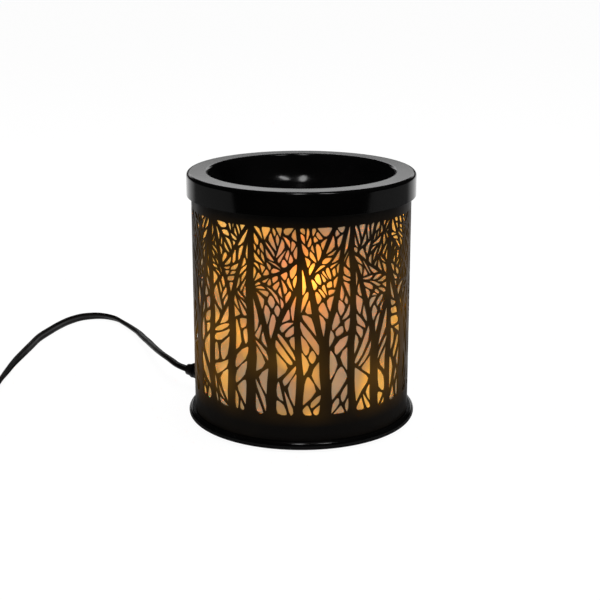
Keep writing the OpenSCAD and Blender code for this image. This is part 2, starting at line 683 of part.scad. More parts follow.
module switch_upper_shell()
  color("#0e0e10")
    switch_place()
      difference() {
        union() {
          difference() {
            union() {
              translate([0, 0, split_z]) linear_extrude(switch_h - split_z - 2) switch_plan();
              translate([0, 0, switch_h - 2]) linear_extrude(1) switch_plan(0.4);
              translate([0, 0, switch_h - 1]) linear_extrude(1) switch_plan(1.2);
            }
            switch_room(split_z - 1, switch_h - split_z - shell_t + 1);
          }
          at_bosses() translate([0, 0, split_z]) cylinder(r = boss_r, h = switch_h - split_z - 1, $fn = 32);
          for (side = [-1, 1])
            translate([-3, side * (rocker_w / 2 + air + cheek_t / 2) - cheek_t / 2, pivot_z - 2.6])
              cube([6, cheek_t, switch_h - pivot_z + 1.6]);
        }
        translate([0, 0, switch_h])
          cube([rocker_l + 2 * rocker_end_gap, rocker_w + 2 * air, 2 * shell_t + 1], center = true);
        translate([0, 0, pivot_z]) rotate([90, 0, 0])
          cylinder(r = pivot_r + run_fit, h = rocker_w + 2 * (air + cheek_t) + 0.4, center = true, $fn = 32);
        cord_way();
        at_bosses() translate([0, 0, split_z - 1]) cylinder(r = shell_screw_r + run_fit, h = 5, $fn = 24);
      }
// The rocker stands with one end pressed down
module switch_rocker()
  color("#151517")
    switch_place()
      translate([0, 0, pivot_z])
        rotate([0, rocker_tilt, 0])
          rotate([90, 0, 0]) {
            cylinder(r = pivot_r, h = rocker_w + 2 * (air + cheek_t), center = true, $fn = 32);
            linear_extrude(rocker_w, center = true)
              polygon([
                [-rocker_l / 2, 3.4], [-rocker_l / 4, 2.6], [0, 2.3],
                [rocker_l / 4, 2.6], [rocker_l / 2, 3.4],
                [rocker_l / 2 - 0.5, 0.6], [3, -2.6], [-3, -2.6], [-rocker_l / 2 + 0.5, 0.6]
              ]);
          }
module switch_screws()
  color("#b8b8b4")
    switch_place()
      at_bosses() {
        translate([0, 0, 1.6]) cylinder(r = shell_screw_r, h = split_z + 2, $fn = 24);
        translate([0, 0, 0.4]) cylinder(r = shell_screw_r + 0.9, h = 1.2, $fn = 24);
      }
module switch_terminals()
  color("#c8a050")
    switch_place()
      for (side = [-1, 1])
        translate([side * 9, 0, shell_t]) {
          translate([-4, -2, 0]) cube([8, 4, 0.8]);
          translate([-side * 3.5 - 0.5, -2, 0]) cube([1, 4, 4]);
        }

// The plug: a moulded body that tapers into its strain relief, and two blades of unequal width
module plug_place() translate([plug_at.x, plug_at.y, plug_h / 2]) rotate([0, 0, 90]) children();
module plug_body()
  color("#0d0d0e")
    plug_place() {
      rotate([0, 90, 0]) cylinder(r1 = cord_w / 2 + 0.5, r2 = cord_w / 2 + 2, h = plug_nose + 1, $fn = 48);
      intersection() {
        translate([plug_nose, 0, 0]) rotate([90, 0, 90]) linear_extrude(plug_l) stadium(plug_w, plug_h);
        linear_extrude(plug_h, center = true) plug_taper(plug_w / 2, 5);
        rotate([90, 0, 0]) linear_extrude(plug_w, center = true) plug_taper(plug_h / 2, 5);
      }
    }
module stadium(w, h)
  union() {
    square([w - h, h], center = true);
    for (side = [-1, 1]) translate([side * (w - h) / 2, 0]) circle(d = h, $fn = 48);
  }
module plug_taper(half, small)
  polygon([
    [plug_nose, small], [plug_nose + 6, half - 1], [plug_nose + 9, half], [plug_nose + plug_l - 1.2, half],
    [plug_nose + plug_l, half - 1.2], [plug_nose + plug_l, 1.2 - half], [plug_nose + plug_l - 1.2, -half],
    [plug_nose + 9, -half], [plug_nose + 6, 1 - half], [plug_nose, -small]
  ]);
module plug_blades()
  color("#c9a85a")
    plug_place()
      for (side = [-1, 1])
        let (w = side < 0 ? 6.3 : 7.9)
          translate([plug_nose + plug_l, side * blade_gap / 2 - blade_t / 2, -w / 2])
            difference() {
              cube([blade_l, blade_t, w]);
              translate([blade_l - 4, -1, w / 2])
                rotate([-90, 0, 0]) cylinder(r = 1.5, h = blade_t + 2, $fn = 24);
            }

dish();
seat_ring();
sleeve();
diffuser();
upper_gasket();
lower_gasket();
base_pan();
bottom_cover();
cover_posts();
cover_screws();
rubber_feet();
lamp_holder();
holder_screws();
holder_nuts();
socket_shell();
socket_contact();
bulb_cap();
bulb_contact();
bulb_glass();
bulb_stem();
filament();
lead_wires();
strain_relief();
cord_run();
switch_lower_shell();
switch_upper_shell();
switch_rocker();
switch_screws();
switch_terminals();
cord_link();
cord_coil();
coil_tie();
cord_tail();
plug_body();
plug_blades();
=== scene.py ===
"""Looks of a plug-in wax warmer: a cut-out metal sleeve round a frosted glass cylinder, a dish that
lifts off, and a flat two-core cord with a rocker switch and a plug. Metres, +Z up, front at -Y."""

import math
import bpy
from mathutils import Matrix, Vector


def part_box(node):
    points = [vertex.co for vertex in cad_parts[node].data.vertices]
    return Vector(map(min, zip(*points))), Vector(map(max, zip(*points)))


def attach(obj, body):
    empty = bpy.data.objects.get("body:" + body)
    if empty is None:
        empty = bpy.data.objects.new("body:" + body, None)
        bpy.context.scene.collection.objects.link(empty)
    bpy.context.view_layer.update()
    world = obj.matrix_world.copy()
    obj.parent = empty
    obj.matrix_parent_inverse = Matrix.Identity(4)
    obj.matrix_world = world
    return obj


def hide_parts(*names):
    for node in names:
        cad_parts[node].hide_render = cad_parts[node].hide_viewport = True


bl_info = {
    "name": "Wax Warmer",
    "version": (1, 0, 0),
    "blender": (4, 5, 0),
    "location": "View3D > Sidebar > Wax Warmer",
    "description": "Builds a wax warmer with a cut-out forest sleeve, piece by piece",
    "category": "Object",
}

import bpy
import numpy as np
from mathutils import Vector

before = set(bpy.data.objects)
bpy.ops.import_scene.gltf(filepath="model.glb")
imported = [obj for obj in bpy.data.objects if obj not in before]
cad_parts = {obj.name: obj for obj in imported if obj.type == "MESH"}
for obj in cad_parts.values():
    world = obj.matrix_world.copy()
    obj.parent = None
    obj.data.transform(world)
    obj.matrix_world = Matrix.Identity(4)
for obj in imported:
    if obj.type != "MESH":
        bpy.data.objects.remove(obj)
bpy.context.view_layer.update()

MM = 0.001
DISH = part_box("dish")
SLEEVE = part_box("sleeve")
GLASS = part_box("diffuser")
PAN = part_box("base_pan")


class WarmerSizes(bpy.types.PropertyGroup):
    """Sizes of the warmer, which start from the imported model."""

    rim_radius: bpy.props.FloatProperty(
        name="Rim radius", description="Outer radius of the dish", default=DISH[1].x, unit="LENGTH"
    )
    rim_width: bpy.props.FloatProperty(
        name="Rim width", description="Width of the flat rim", default=0.0114, unit="LENGTH"
    )
    dish_wall: bpy.props.FloatProperty(
        name="Dish wall", description="Wall of the cast dish", default=0.0018, unit="LENGTH"
    )
    bowl_depth: bpy.props.FloatProperty(
        name="Bowl depth", description="Depth below the rim", default=0.027, unit="LENGTH"
    )
    sleeve_wall: bpy.props.FloatProperty(
        name="Sleeve wall", description="Thickness of the sheet", default=0.0008, unit="LENGTH"
    )
    trees: bpy.props.IntProperty(
        name="Tall trees", description="Number of tall trees round the sleeve", default=14
    )
    forest_seed: bpy.props.IntProperty(
        name="Forest layout", description="Another number grows another forest", default=6
    )
    cord_width: bpy.props.FloatProperty(
        name="Cord width", description="Width of the flat cord", default=0.0054, unit="LENGTH"
    )
    cord_thickness: bpy.props.FloatProperty(
        name="Cord thickness", description="Thickness of the cord", default=0.0028, unit="LENGTH"
    )


class WarmerColours(bpy.types.PropertyGroup):
    """Colours of the finishes."""

    enamel: bpy.props.StringProperty(
        name="Enamel", description="Colour of the dish and the base", default="#030303"
    )
    bronze: bpy.props.StringProperty(
        name="Bronze", description="Colour of the sleeve's powder coat", default="#0c0805"
    )
    glass: bpy.props.StringProperty(
        name="Frosted glass", description="Colour of the unlit glass", default="#a08c70"
    )
    # colour of the glass's painted glow in its blotches
    glow: bpy.props.StringProperty(
        name="Glow", description="Colour of the lamplight in the glass", default="#f0b450"
    )
    cord: bpy.props.StringProperty(
        name="Cord", description="Colour of the cord's sheath", default="#040303"
    )


# Working in Blender

HOLD = 0.00012  # from each end of a long straight to its holding point
LONG = 12 * HOLD  # a straight longer than this is held
FILLET_TURN = 8  # degrees from point to point of a fillet at most
FILLET_STEP = 0.0012  # and metres at most, below LONG
MERGE = 1e-6


def deselect():
    if bpy.context.mode != "OBJECT":
        bpy.ops.object.mode_set(mode="OBJECT")
    bpy.ops.object.select_all(action="DESELECT")


def activate(piece):
    deselect()
    piece.select_set(True)
    bpy.context.view_layer.objects.active = piece


def modified(piece, kind, **settings):
    """Adds one modifier to a piece and applies it."""
    activate(piece)
    made = piece.modifiers.new(kind.title(), kind)
    for name, value in settings.items():
        setattr(made, name, value)
    bpy.ops.object.modifier_apply(modifier=made.name)
    return piece


def smoothed(piece, angle=35):
    activate(piece)
    bpy.ops.object.shade_smooth_by_angle(angle=math.radians(angle))
    return piece


def closed(piece, merge=0.0):
    """Merges a piece's points that are closer than merge, and turns its faces outwards."""
    if bpy.context.mode == "OBJECT":
        activate(piece)
        bpy.ops.object.mode_set(mode="EDIT")
    bpy.ops.mesh.select_all(action="SELECT")
    if merge:
        bpy.ops.mesh.remove_doubles(threshold=merge)
    bpy.ops.mesh.normals_make_consistent(inside=False)
    bpy.ops.object.mode_set(mode="OBJECT")
    return piece


def settled(piece, body, slot, *nodes):
    """Puts a finished piece on its body, in place of the CAD nodes that it stands for."""
    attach(piece, body)
    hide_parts(*nodes)
    return piece


def finished_with(piece, *materials):
    piece.data.materials.clear()
    for material in materials:
        piece.data.materials.append(material)
    return piece


def filleted(corners):
    """A line of (radius, height) points from corners (radius, height, fillet), in metres."""
    line = []
    for i, (r, z, fillet) in enumerate(corners):
        if i in (0, len(corners) - 1) or fillet == 0:
            line.append((r, z))
            continue
        a, b, c = (np.array(corners[k][:2]) for k in (i - 1, i, i + 1))
        u, v = (a - b) / np.linalg.norm(a - b), (c - b) / np.linalg.norm(c - b)
        half = math.acos(np.clip(u @ v, -1, 1)) / 2
        centre = b + (u + v) / np.linalg.norm(u + v) * fillet / math.sin(half)
        first = b + u * fillet / math.tan(half) - centre
        last = b + v * fillet / math.tan(half) - centre
        start = math.atan2(first[1], first[0])
        sweep = (math.atan2(last[1], last[0]) - start + math.pi) % (2 * math.pi) - math.pi
        turn, arc = abs(math.degrees(sweep)), abs(sweep) * fillet
        steps = max(3, round(turn / FILLET_TURN), math.ceil(arc / FILLET_STEP))
        for k in range(steps + 1):
            angle = start + sweep * k / steps
            line.append(tuple(centre + fillet * np.array([math.cos(angle), math.sin(angle)])))
    return held(line)


def held(line):
    """Adds a point close to each end of a long straight, so that smooth shading keeps it flat."""
    kept = [line[0]]
    for a, b in zip(line, line[1:]):
        a, b = np.array(a), np.array(b)
        gap = np.linalg.norm(b - a)
        if gap > LONG:
            kept += [tuple(a + (b - a) * HOLD / gap), tuple(b - (b - a) * HOLD / gap)]
        kept.append(tuple(b))
    return kept


def turned(name, line, steps=192):
    """Turns a line of (radius, height) points round the Z axis."""
    deselect()
    bpy.ops.mesh.primitive_plane_add(size=MM, location=(line[0][0], 0, line[0][1]))
    piece = bpy.context.object
    piece.name = piece.data.name = name
    bpy.ops.object.transform_apply(location=True)
    bpy.ops.object.mode_set(mode="EDIT")
    bpy.ops.mesh.select_mode(type="VERT")
    bpy.ops.mesh.select_all(action="SELECT")
    bpy.ops.mesh.merge(type="CENTER")
    for (r0, z0), (r1, z1) in zip(line, line[1:]):
        bpy.ops.mesh.extrude_region_move(TRANSFORM_OT_translate={"value": (r1 - r0, 0, z1 - z0)})
    bpy.ops.mesh.select_all(action="SELECT")
    bpy.ops.mesh.spin(steps=steps, angle=2 * math.pi, center=(0, 0, 0), axis=(0, 0, 1))
    return closed(piece, MERGE)


def walled(piece, wall, edge=0.0003, inside=0):
    """Gives a turned skin its wall and rounds the wall's free edges. The inner face takes the
    material that stands inside places after the outer one's."""
    modified(
        piece, "SOLIDIFY", thickness=wall, offset=0, use_even_offset=True, material_offset=inside
    )
    modified(
        piece, "BEVEL", width=edge, segments=2, limit_method="ANGLE", angle_limit=math.radians(50)
    )
    return smoothed(piece)


def cutter(radius, length, place, direction=None, steps=48, slot=0.0):
    """A cylinder that a Boolean modifier takes away, drawn out along its own X into a slot."""
    deselect()
    bpy.ops.mesh.primitive_cylinder_add(vertices=steps, radius=radius, depth=length)
    piece = bpy.context.object
    if slot:
        bpy.ops.object.mode_set(mode="EDIT")
        bpy.ops.mesh.select_all(action="DESELECT")
        bpy.ops.object.mode_set(mode="OBJECT")
        for vertex in piece.data.vertices:
            vertex.select = vertex.co.x > radius * 0.01
        bpy.ops.object.mode_set(mode="EDIT")
        bpy.ops.mesh.select_mode(type="VERT")
        bpy.ops.transform.translate(value=(slot, 0, 0))
        bpy.ops.object.mode_set(mode="OBJECT")
        piece.location.x = -slot / 2
        bpy.ops.object.transform_apply(location=True)
    if direction is not None:
        piece.rotation_euler = direction
    piece.location = place
    bpy.ops.object.transform_apply(location=True, rotation=True)
    return piece


def cut_away(piece, cutters):
    activate(cutters[0])
    for other in cutters[1:]:
        other.select_set(True)
    bpy.ops.object.join()
    tool = bpy.context.object
    modified(piece, "BOOLEAN", object=tool, operation="DIFFERENCE", solver="EXACT")
    bpy.data.objects.remove(tool)
    return piece


def drawn(name, lines, ring, **settings):
    """A curve of straight lines through (x, y, z) points, each a ring or open, made a mesh."""
    curve = bpy.data.curves.new(name, "CURVE")
    for key, value in settings.items():
        setattr(curve, key, value)
    for line in lines:
        spline = curve.splines.new("POLY")
        spline.points.add(len(line) - 1)
        spline.points.foreach_set("co", [v for p in line for v in (*p, 1)])
        spline.use_cyclic_u = ring
    piece = bpy.data.objects.new(name, curve)
    bpy.context.scene.collection.objects.link(piece)
    activate(piece)
    bpy.ops.object.convert(target="MESH")
    return bpy.context.object


# Materials

LIGHT_BLOTCHES = (-0.03, 0.02, -0.02)  # where in the noise the blotches of painted lamplight are taken from
LIGHT_BLOTCH = 0.036  # their size
LIGHT_COMES = (0.012, 0.034)  # heights between which the painted lamplight on the sheet fades in
LIGHT_GOES = (0.075, 0.119)  # and fades out again
PAINTED_GLOW_STRENGTH = 0.6  # strength of the painted glow on the sheet and in the glass


def linear(colour):
    """A colour written as #rrggbb in sRGB, as Blender's linear RGBA."""
    parts = [int(colour[i : i + 2], 16) / 255 for i in (1, 3, 5)]
    return [p / 12.92 if p <= 0.04045 else ((p + 0.055) / 1.055) ** 2.4 for p in parts] + [1]


def fed(tree, node, **inputs):
    """Fills a node's inputs, named with _ for a space or by i and a number. Each takes a value, a
    socket, or a node for its first output."""
    for name, value in inputs.items():
        key = int(name[1:]) if name[0] == "i" and name[1:].isdigit() else name.replace("_", " ")
        if isinstance(value, bpy.types.Node):
            value = value.outputs[0]
        if isinstance(value, bpy.types.NodeSocket):
            tree.links.new(value, node.inputs[key])
        else:
            node.inputs[key].default_value = value
    return node


def add(tree, kind, settings=(), **inputs):
    """Adds a node with its settings and inputs. The setting stops is a colour ramp's list of
    (position, colour)."""
    node = tree.nodes.new(kind)
    for name, value in dict(settings).items():
        if name != "stops":
            setattr(node, name, value)
            continue
        points = node.color_ramp.elements
        while len(points) < len(value):
            points.new(0.5)
        for point, (position, colour) in zip(points, value):
            point.position = position
            point.color = linear(colour)
    return fed(tree, node, **inputs)


def banded(tree, *bands):
    """The product of bands (value, start, stop, low, high), each of which runs from low to high
    while its value runs from start to stop."""
    whole = None
    for value, start, stop, low, high in bands:
        band = add(
            tree, "ShaderNodeMapRange",
            Value=value, From_Min=start, From_Max=stop, To_Min=low, To_Max=high,
        )  # fmt: skip
        if whole is not None:
            band = add(tree, "ShaderNodeMath", {"operation": "MULTIPLY"}, i0=whole, i1=band)
        whole = band
    return whole


def coating(name, dark, light, rough, sizes, **shader):
    """A finish with two shades in blotches, a range of roughness and a fine raised grain. The
    sizes are those of a blotch and of a grain, and the grain's depth, in millimetres."""
    blotch, grain, depth = (size * MM for size in sizes)
    material = bpy.data.materials.new(name)
    material.use_nodes = True
    tree = material.node_tree
    place = add(tree, "ShaderNodeTexCoord").outputs["Object"]
    cloud = add(tree, "ShaderNodeTexNoise", Vector=place, Scale=1 / blotch, Detail=3)
    fine = add(tree, "ShaderNodeTexNoise", Vector=place, Scale=1 / grain, Detail=2)
    stops = ((0.35, dark), (0.65, light))  # nearly all of the noise lies between 0.3 and 0.7
    fed(
        tree,
        tree.nodes["Principled BSDF"],
        Base_Color=add(tree, "ShaderNodeValToRGB", {"stops": stops}, Fac=cloud),
        Roughness=banded(tree, (cloud, 0.3, 0.7, *rough)),
        Normal=add(tree, "ShaderNodeBump", Height=fine, Distance=depth, Strength=1.0),
        **shader,
    )
    return material


def finishes():
    """All the materials, made once."""
    colours = bpy.context.scene.warmer_colours
    return {
        # Stoved gloss enamel: deep black with the faint orange peel of a sprayed coat
        "enamel": coating(
            "gloss_enamel_stoved", colours.enamel, "#060606", (0.1, 0.14), (30, 1.6, 0.004),
            Specular_IOR_Level=0.86,
        ),
        # Satin powder coat: even, slightly sandy black on the bottom cover
        "satin": coating(
            "satin_powder_coat", "#121213", "#1a1a1b", (0.42, 0.55), (20, 0.5, 0.02),
            Specular_IOR_Level=0.4,
        ),
        # Matt bronze powder coat, with a painted lamplight glow
        "bronze": bronze_coat(colours.bronze),
        # Cut edge under the coat: thinner there and smoother than the faces, and lighter and
        # warmer, partly from the thin coat and partly as painted lamplight caught on the edges
        "cut_edge": coating(
            "bronze_coat_on_cut_edge", "#1c140a", "#2c2010", (0.35, 0.5), (4, 0.4, 0.01),
            Metallic=0.3,
        ),
        # Acid-frosted glass, with a painted lamplight glow
        "glass": frosted_glass(colours.glass, colours.glow),
        # Clear inner face of the frosted glass: unground, so it only adds a thin gloss
        "clear_face": coating(
            "clear_inner_glass_face", "#d8cdb8", "#e6dcc8", (0.05, 0.12), (20, 6, 0.01), Alpha=0.1
        ),
        # Blown bulb glass: so thin that it hardly bends light, with slight waves and a warm film
        "bulb": coating(
            "blown_bulb_glass", "#ffe2a8", "#fff0d0", (0.02, 0.06), (20, 6, 0.02), Alpha=0.16
        ),
        # Tungsten coil at working heat: it glows yellow all over
        "tungsten": coating(
            "tungsten_wire_glowing", "#ffb040", "#ffd890", (0.3, 0.4), (3, 0.2, 0.01),
            Emission_Color=linear("#ffc860"), Emission_Strength=6.0,
        ),
        # Milky silicone: soft, slightly see-through look with a fine moulded grain
        "silicone": coating(
            "moulded_silicone", "#d8d4cb", "#e6e2d9", (0.45, 0.6), (8, 0.6, 0.01),
            Subsurface_Weight=0.2, Subsurface_Scale=0.001,
        ),
        # Zinc plating: pale metal with the clouded patches of a passivated plate
        "zinc": coating(
            "zinc_plated_steel", "#9a9a98", "#c6c6c0", (0.22, 0.42), (4, 0.4, 0.006), Metallic=1.0
        ),
        # Moulded rubber: matt, a little dusty
        "rubber": coating("moulded_rubber", "#161616", "#222221", (0.7, 0.85), (6, 0.5, 0.03)),
        # Glazed porcelain: warm white under a thick clear glaze with small pits
        "porcelain": coating(
            "glazed_porcelain", "#ded8c8", "#ece7da", (0.08, 0.2), (10, 2, 0.02),
            Coat_Weight=0.6, Coat_Roughness=0.05,
        ),
        # Stamped brass: bright with brown tarnish in patches
        "brass": coating(
            "stamped_brass", "#a07a3a", "#d0aa60", (0.18, 0.38), (5, 0.5, 0.008), Metallic=1.0
        ),
        # Fused black glass, the insulator at the bulb's tip: glossy and smooth
        "vitrite": coating("fused_black_glass", "#0c0c0c", "#181818", (0.05, 0.15), (3, 1, 0.01)),
        # Extruded PVC: nearly black, waxy sheen, with faint drawing waves
        "pvc": coating(
            "extruded_pvc_sheath", colours.cord, "#0c0908", (0.38, 0.5), (12, 1.2, 0.01),
            Specular_IOR_Level=0.2,
        ),
        # Moulded phenolic plastic: black with a satin, finely sparked face
        "phenolic": coating(
            "sparked_phenolic_moulding", "#111112", "#1a1a1b", (0.3, 0.45), (10, 0.4, 0.015),
            Specular_IOR_Level=0.4,
        ),
    }  # fmt: skip


def lamplight(tree, place):
    """Blotches of painted lamplight, which the glass and the sheet in front of it share."""
    moved = add(tree, "ShaderNodeVectorMath", {"operation": "ADD"}, i0=place, i1=LIGHT_BLOTCHES)
    return add(tree, "ShaderNodeTexNoise", Vector=moved, Scale=1 / LIGHT_BLOTCH, Detail=1.5)


def with_painted_glow(material, light, *stops):
    """Paints a glow onto a material: emission in the colours of the stops, standing in for
    lamplight.
    """
    tree = material.node_tree
    colour = add(tree, "ShaderNodeValToRGB", {"stops": stops}, Fac=light)
    surface = tree.nodes["Principled BSDF"]
    fed(tree, surface, Emission_Color=colour, Emission_Strength=PAINTED_GLOW_STRENGTH)
    return material


def bronze_coat(colour):
    """Matt bronze powder coat: brown, finely sandy, slightly metallic, with a painted amber glow in
    blotches that stands in for the lamplight leaking through the cut-outs beside it; the painted
    glow fades towards the foot and towards the top under the dish."""
    material = coating(
        "bronze_powder_coat_with_painted_glow", colour, "#140f09", (0.42, 0.54), (12, 0.5, 0.015),
        Metallic=0.1, Specular_IOR_Level=0.5,
    )  # fmt: skip
    tree = material.node_tree
    place = add(tree, "ShaderNodeTexCoord").outputs["Object"]
    height = add(tree, "ShaderNodeSeparateXYZ", Vector=place).outputs["Z"]
    # painted glow mask: fades in with height, fades out towards the top, and comes in blotches
    light = banded(
        tree,
        (height, *LIGHT_COMES, 0, 1),
        (height, *LIGHT_GOES, 1, 0),
        (lamplight(tree, place), 0.42, 0.62, 0.3, 1),
    )
    # colours of the painted glow on the sheet, none where the mask is 0
    return with_painted_glow(material, light, (0.0, "#000000"), (0.4, "#382503"), (1.0, "#5a3c09"))


def frosted_glass(colour, glow):
    """Acid-frosted glass: cloudy grey-beige, half letting light through, with a painted glow all
    over:
    grey-beige, and amber in blotches that stand in for the lamplight caught in the frost."""
    material = coating(
        "acid_frosted_glass_with_painted_glow", colour, "#b09c80", (0.17, 0.23), (20, 0.7, 0.01),
        Transmission_Weight=0.3, IOR=1.3, Specular_IOR_Level=0.3,
    )  # fmt: skip
    tree = material.node_tree
    light = lamplight(tree, add(tree, "ShaderNodeTexCoord").outputs["Object"])
    # colours of the glass's painted glow: grey-beige where the noise is low, amber to pale yellow
    # in the blotches
    stops = ((0.42, "#9c8a70"), (0.52, "#b08a50"), (0.6, glow), (0.75, "#ffca6a"))
    return with_painted_glow(material, light, *stops)


# The camera, the light and the floor

CAMERA_PLACE = (-0.0007, -0.7092, 0.2663)  # solved from the rim's ellipse and the sleeve's edges
CAMERA_TILT = 73.996  # degrees up from straight down
CAMERA_LENS, SENSOR = 82.68, 36  # millimetres
AIM = (0, 0, 0.07)  # the warmer's middle, where the lamps point
LAMPS = (  # name, width, height, place, power, and whether gloss shows the lamp
    ("overhead", 0.9, 0.7, (0.15, 0.1, 1.3), 9, False),
    ("left_side", 0.7, 0.7, (-1.1, -0.25, 0.55), 5, False),
    ("right_side", 0.7, 0.7, (1.1, -0.2, 0.55), 5, False),
    ("bowl_right", 0.16, 0.38, (0.39, -0.46, 1.31), 0.55, True),
    ("bowl_left", 0.16, 0.5, (-0.035, -0.46, 1.31), 0.7, True),
)
PAPER = 12  # side of the background paper
TABLE_EDGE = 0.25  # where it ends in front of the warmer, and the dark room begins
PAPER_GLOW = 0.94  # up to white, with the lamps' light on it
FIBRE = 0.0015  # coarser than real fibre, so that it shows
FILL = 0.5  # strength of the world's even light


class WARMER_OT_camera(bpy.types.Operator):
    """Sets the camera where the photograph was taken from."""

    bl_idname = "warmer.camera"
    bl_label = "Camera"

    def execute(self, context):
        deselect()
        bpy.ops.object.camera_add(location=CAMERA_PLACE, rotation=(math.radians(CAMERA_TILT), 0, 0))
        camera = context.object
        camera.data.lens = CAMERA_LENS
        camera.data.sensor_width = SENSOR
        camera.data.clip_start = 0.01
        context.scene.camera = camera
        return {"FINISHED"}


def softbox(name, width, height, place, power, shown):
    """A soft light that points at the warmer, oval where gloss shows it. The camera never does."""
    deselect()
    bpy.ops.object.light_add(type="AREA", location=place)
    lamp = bpy.context.object
    lamp.name = name
    lamp.data.shape = "ELLIPSE" if shown else "RECTANGLE"
    lamp.data.size = width
    lamp.data.size_y = height
    lamp.data.energy = power
    aim = Vector(AIM) - Vector(place)
    lamp.rotation_euler = aim.to_track_quat("-Z", "Y").to_euler()
    lamp.visible_camera = False
    lamp.visible_glossy = shown


class WARMER_OT_stage(bpy.types.Operator):
    """Lays the floor, and sets the lamps and the white ground."""

    bl_idname = "warmer.stage"
    bl_label = "Floor and light"

    def execute(self, context):
        deselect()
        bpy.ops.mesh.primitive_plane_add(size=PAPER, location=(0, PAPER / 2 - TABLE_EDGE, 0))
        floor = context.object
        floor.name = floor.data.name = "floor"
        finished_with(floor, floor_paper())
        white_world(context.scene)
        for lamp in LAMPS:
            softbox(*lamp)
        context.scene.view_settings.view_transform = "Standard"
        return {"FINISHED"}


def shown_ground(tree, place):
    """1 for rays from the camera and those that glass lets through, and for those that gloss
    sends to the lit paper behind the warmer; 0 for the light itself."""
    path = add(tree, "ShaderNodeLightPath").outputs
    across, depth = add(tree, "ShaderNodeSeparateXYZ", Vector=place).outputs[:2]
    kind = "ShaderNodeMath"
    behind = add(tree, kind, {"operation": "ADD"}, i0=depth, i1=PAPER / 2 - TABLE_EDGE)
    side = add(tree, kind, {"operation": "ABSOLUTE"}, i0=across)
    side = add(tree, kind, {"operation": "SUBTRACT"}, i0=side, i1=SLEEVE[1].x)
    spread = add(tree, kind, {"operation": "DIVIDE"}, i0=side, i1=behind)
    lit = banded(tree, (spread, 0.3, 1.25, 1, 0), (behind, 0, 0.04, 0, 1))
    shown = add(tree, kind, {"operation": "MULTIPLY"}, i0=path["Is Glossy Ray"], i1=lit)
    for ray in ("Is Camera Ray", "Is Transmission Ray"):
        shown = add(tree, kind, {"operation": "MAXIMUM"}, i0=shown, i1=path[ray])
    return shown


def floor_paper():
    """White background paper: matt, with a faint fibre. It glows for the camera up to white, and
    its own share of the lamps' light keeps the warmer's soft shadow."""
    material = bpy.data.materials.new("white_background_paper")
    material.use_nodes = True
    tree = material.node_tree
    place = add(tree, "ShaderNodeTexCoord").outputs["Object"]
    fibre = add(tree, "ShaderNodeTexNoise", Vector=place, Scale=1 / FIBRE, Detail=4)
    stops = ((0.3, "#484848"), (0.7, "#505050"))
    glow = add(
        tree, "ShaderNodeMath", {"operation": "MULTIPLY"},
        i0=shown_ground(tree, place), i1=PAPER_GLOW,
    )  # fmt: skip
    fed(
        tree,
        tree.nodes["Principled BSDF"],
        Base_Color=add(tree, "ShaderNodeValToRGB", {"stops": stops}, Fac=fibre),
        Roughness=banded(tree, (fibre, 0, 1, 0.8, 0.95)),
        Normal=add(tree, "ShaderNodeBump", Height=fibre, Distance=0.00002, Strength=1.0),
        Specular_IOR_Level=0.1,
        Emission_Color=(1, 1, 1, 1),
        Emission_Strength=glow,
    )
    return material


def white_world(scene):
    """White for the camera and for glass, and an even fill as light. Gloss sees white only in a
    low wall behind the warmer, and below the horizon there."""
    world = bpy.data.worlds.new("white_studio")
    world.use_nodes = True
    scene.world = world
    tree = world.node_tree
    tree.nodes.clear()
    path = add(tree, "ShaderNodeLightPath").outputs
    place = add(tree, "ShaderNodeTexCoord").outputs["Generated"]
    across, depth, rise = add(tree, "ShaderNodeSeparateXYZ", Vector=place).outputs
    side = add(tree, "ShaderNodeMath", {"operation": "ABSOLUTE"}, i0=across)
    wall = banded(
        tree,
        (rise, 0.173, 0.184, 0, 1),
        (rise, 0.26, 0.34, 1, 0),
        (side, 0.3, 0.5, 1, 0),
        (depth, 0, 0.3, 0, 1),
    )
    below = banded(tree, (rise, -0.02, 0, 1, 0), (depth, 0.78, 0.95, 0, 1))
    glossy = add(tree, "ShaderNodeMath", {"operation": "MAXIMUM"}, i0=wall, i1=below)
    seen = add(
        tree, "ShaderNodeMath", {"operation": "MAXIMUM"},
        i0=path["Is Camera Ray"], i1=path["Is Transmission Ray"],
    )  # fmt: skip
    single = {"data_type": "FLOAT"}
    lit = add(tree, "ShaderNodeMix", single, i0=path["Is Glossy Ray"], i2=FILL, i3=glossy)
    strength = add(tree, "ShaderNodeMix", single, i0=seen, i2=lit, i3=1.0)
    ground = add(tree, "ShaderNodeBackground", Color=(1, 1, 1, 1), Strength=strength)
    add(tree, "ShaderNodeOutputWorld", Surface=ground)


# The cords: x, y, height above the table and turn from lying flat, in millimetres and degrees

RUN_ROUTE = [
    (-71.3, 45.1, 9.1, 20), (-76, 53, 9.4, 26), (-80.2, 61.4, 9, 29), (-83.6, 70, 8.1, 29),
    (-86.4, 78.6, 7, 28), (-89, 87.2, 5.8, 26), (-91.6, 95.7, 4.7, 25), (-94.2, 104.2, 3.8, 22),
    (-96.9, 112.6, 2.8, 21), (-99.6, 121, 1.7, 24), (-104, 134, 0.5, 28), (-110, 146.5, 0, 31),
    (-116, 156.5, 0, 34), (-124, 167.5, 0, 40), (-134, 172.5, 0, 50), (-145, 169.5, 0, 66),
    (-152, 161.5, 0, 78), (-158, 149, 0, 84), (-162, 137, 0, 87), (-166, 123, 0, 90),
    (-168, 108, 0, 90), (-170, 92, 0, 85), (-172, 75, 0, 77), (-173, 59, 0, 67),
    (-174, 45, 0, 50), (-175, 32, 0, 30), (-176, 20, 0.6, 12), (-176, 8, 2.2, 0),
]  # fmt: skip
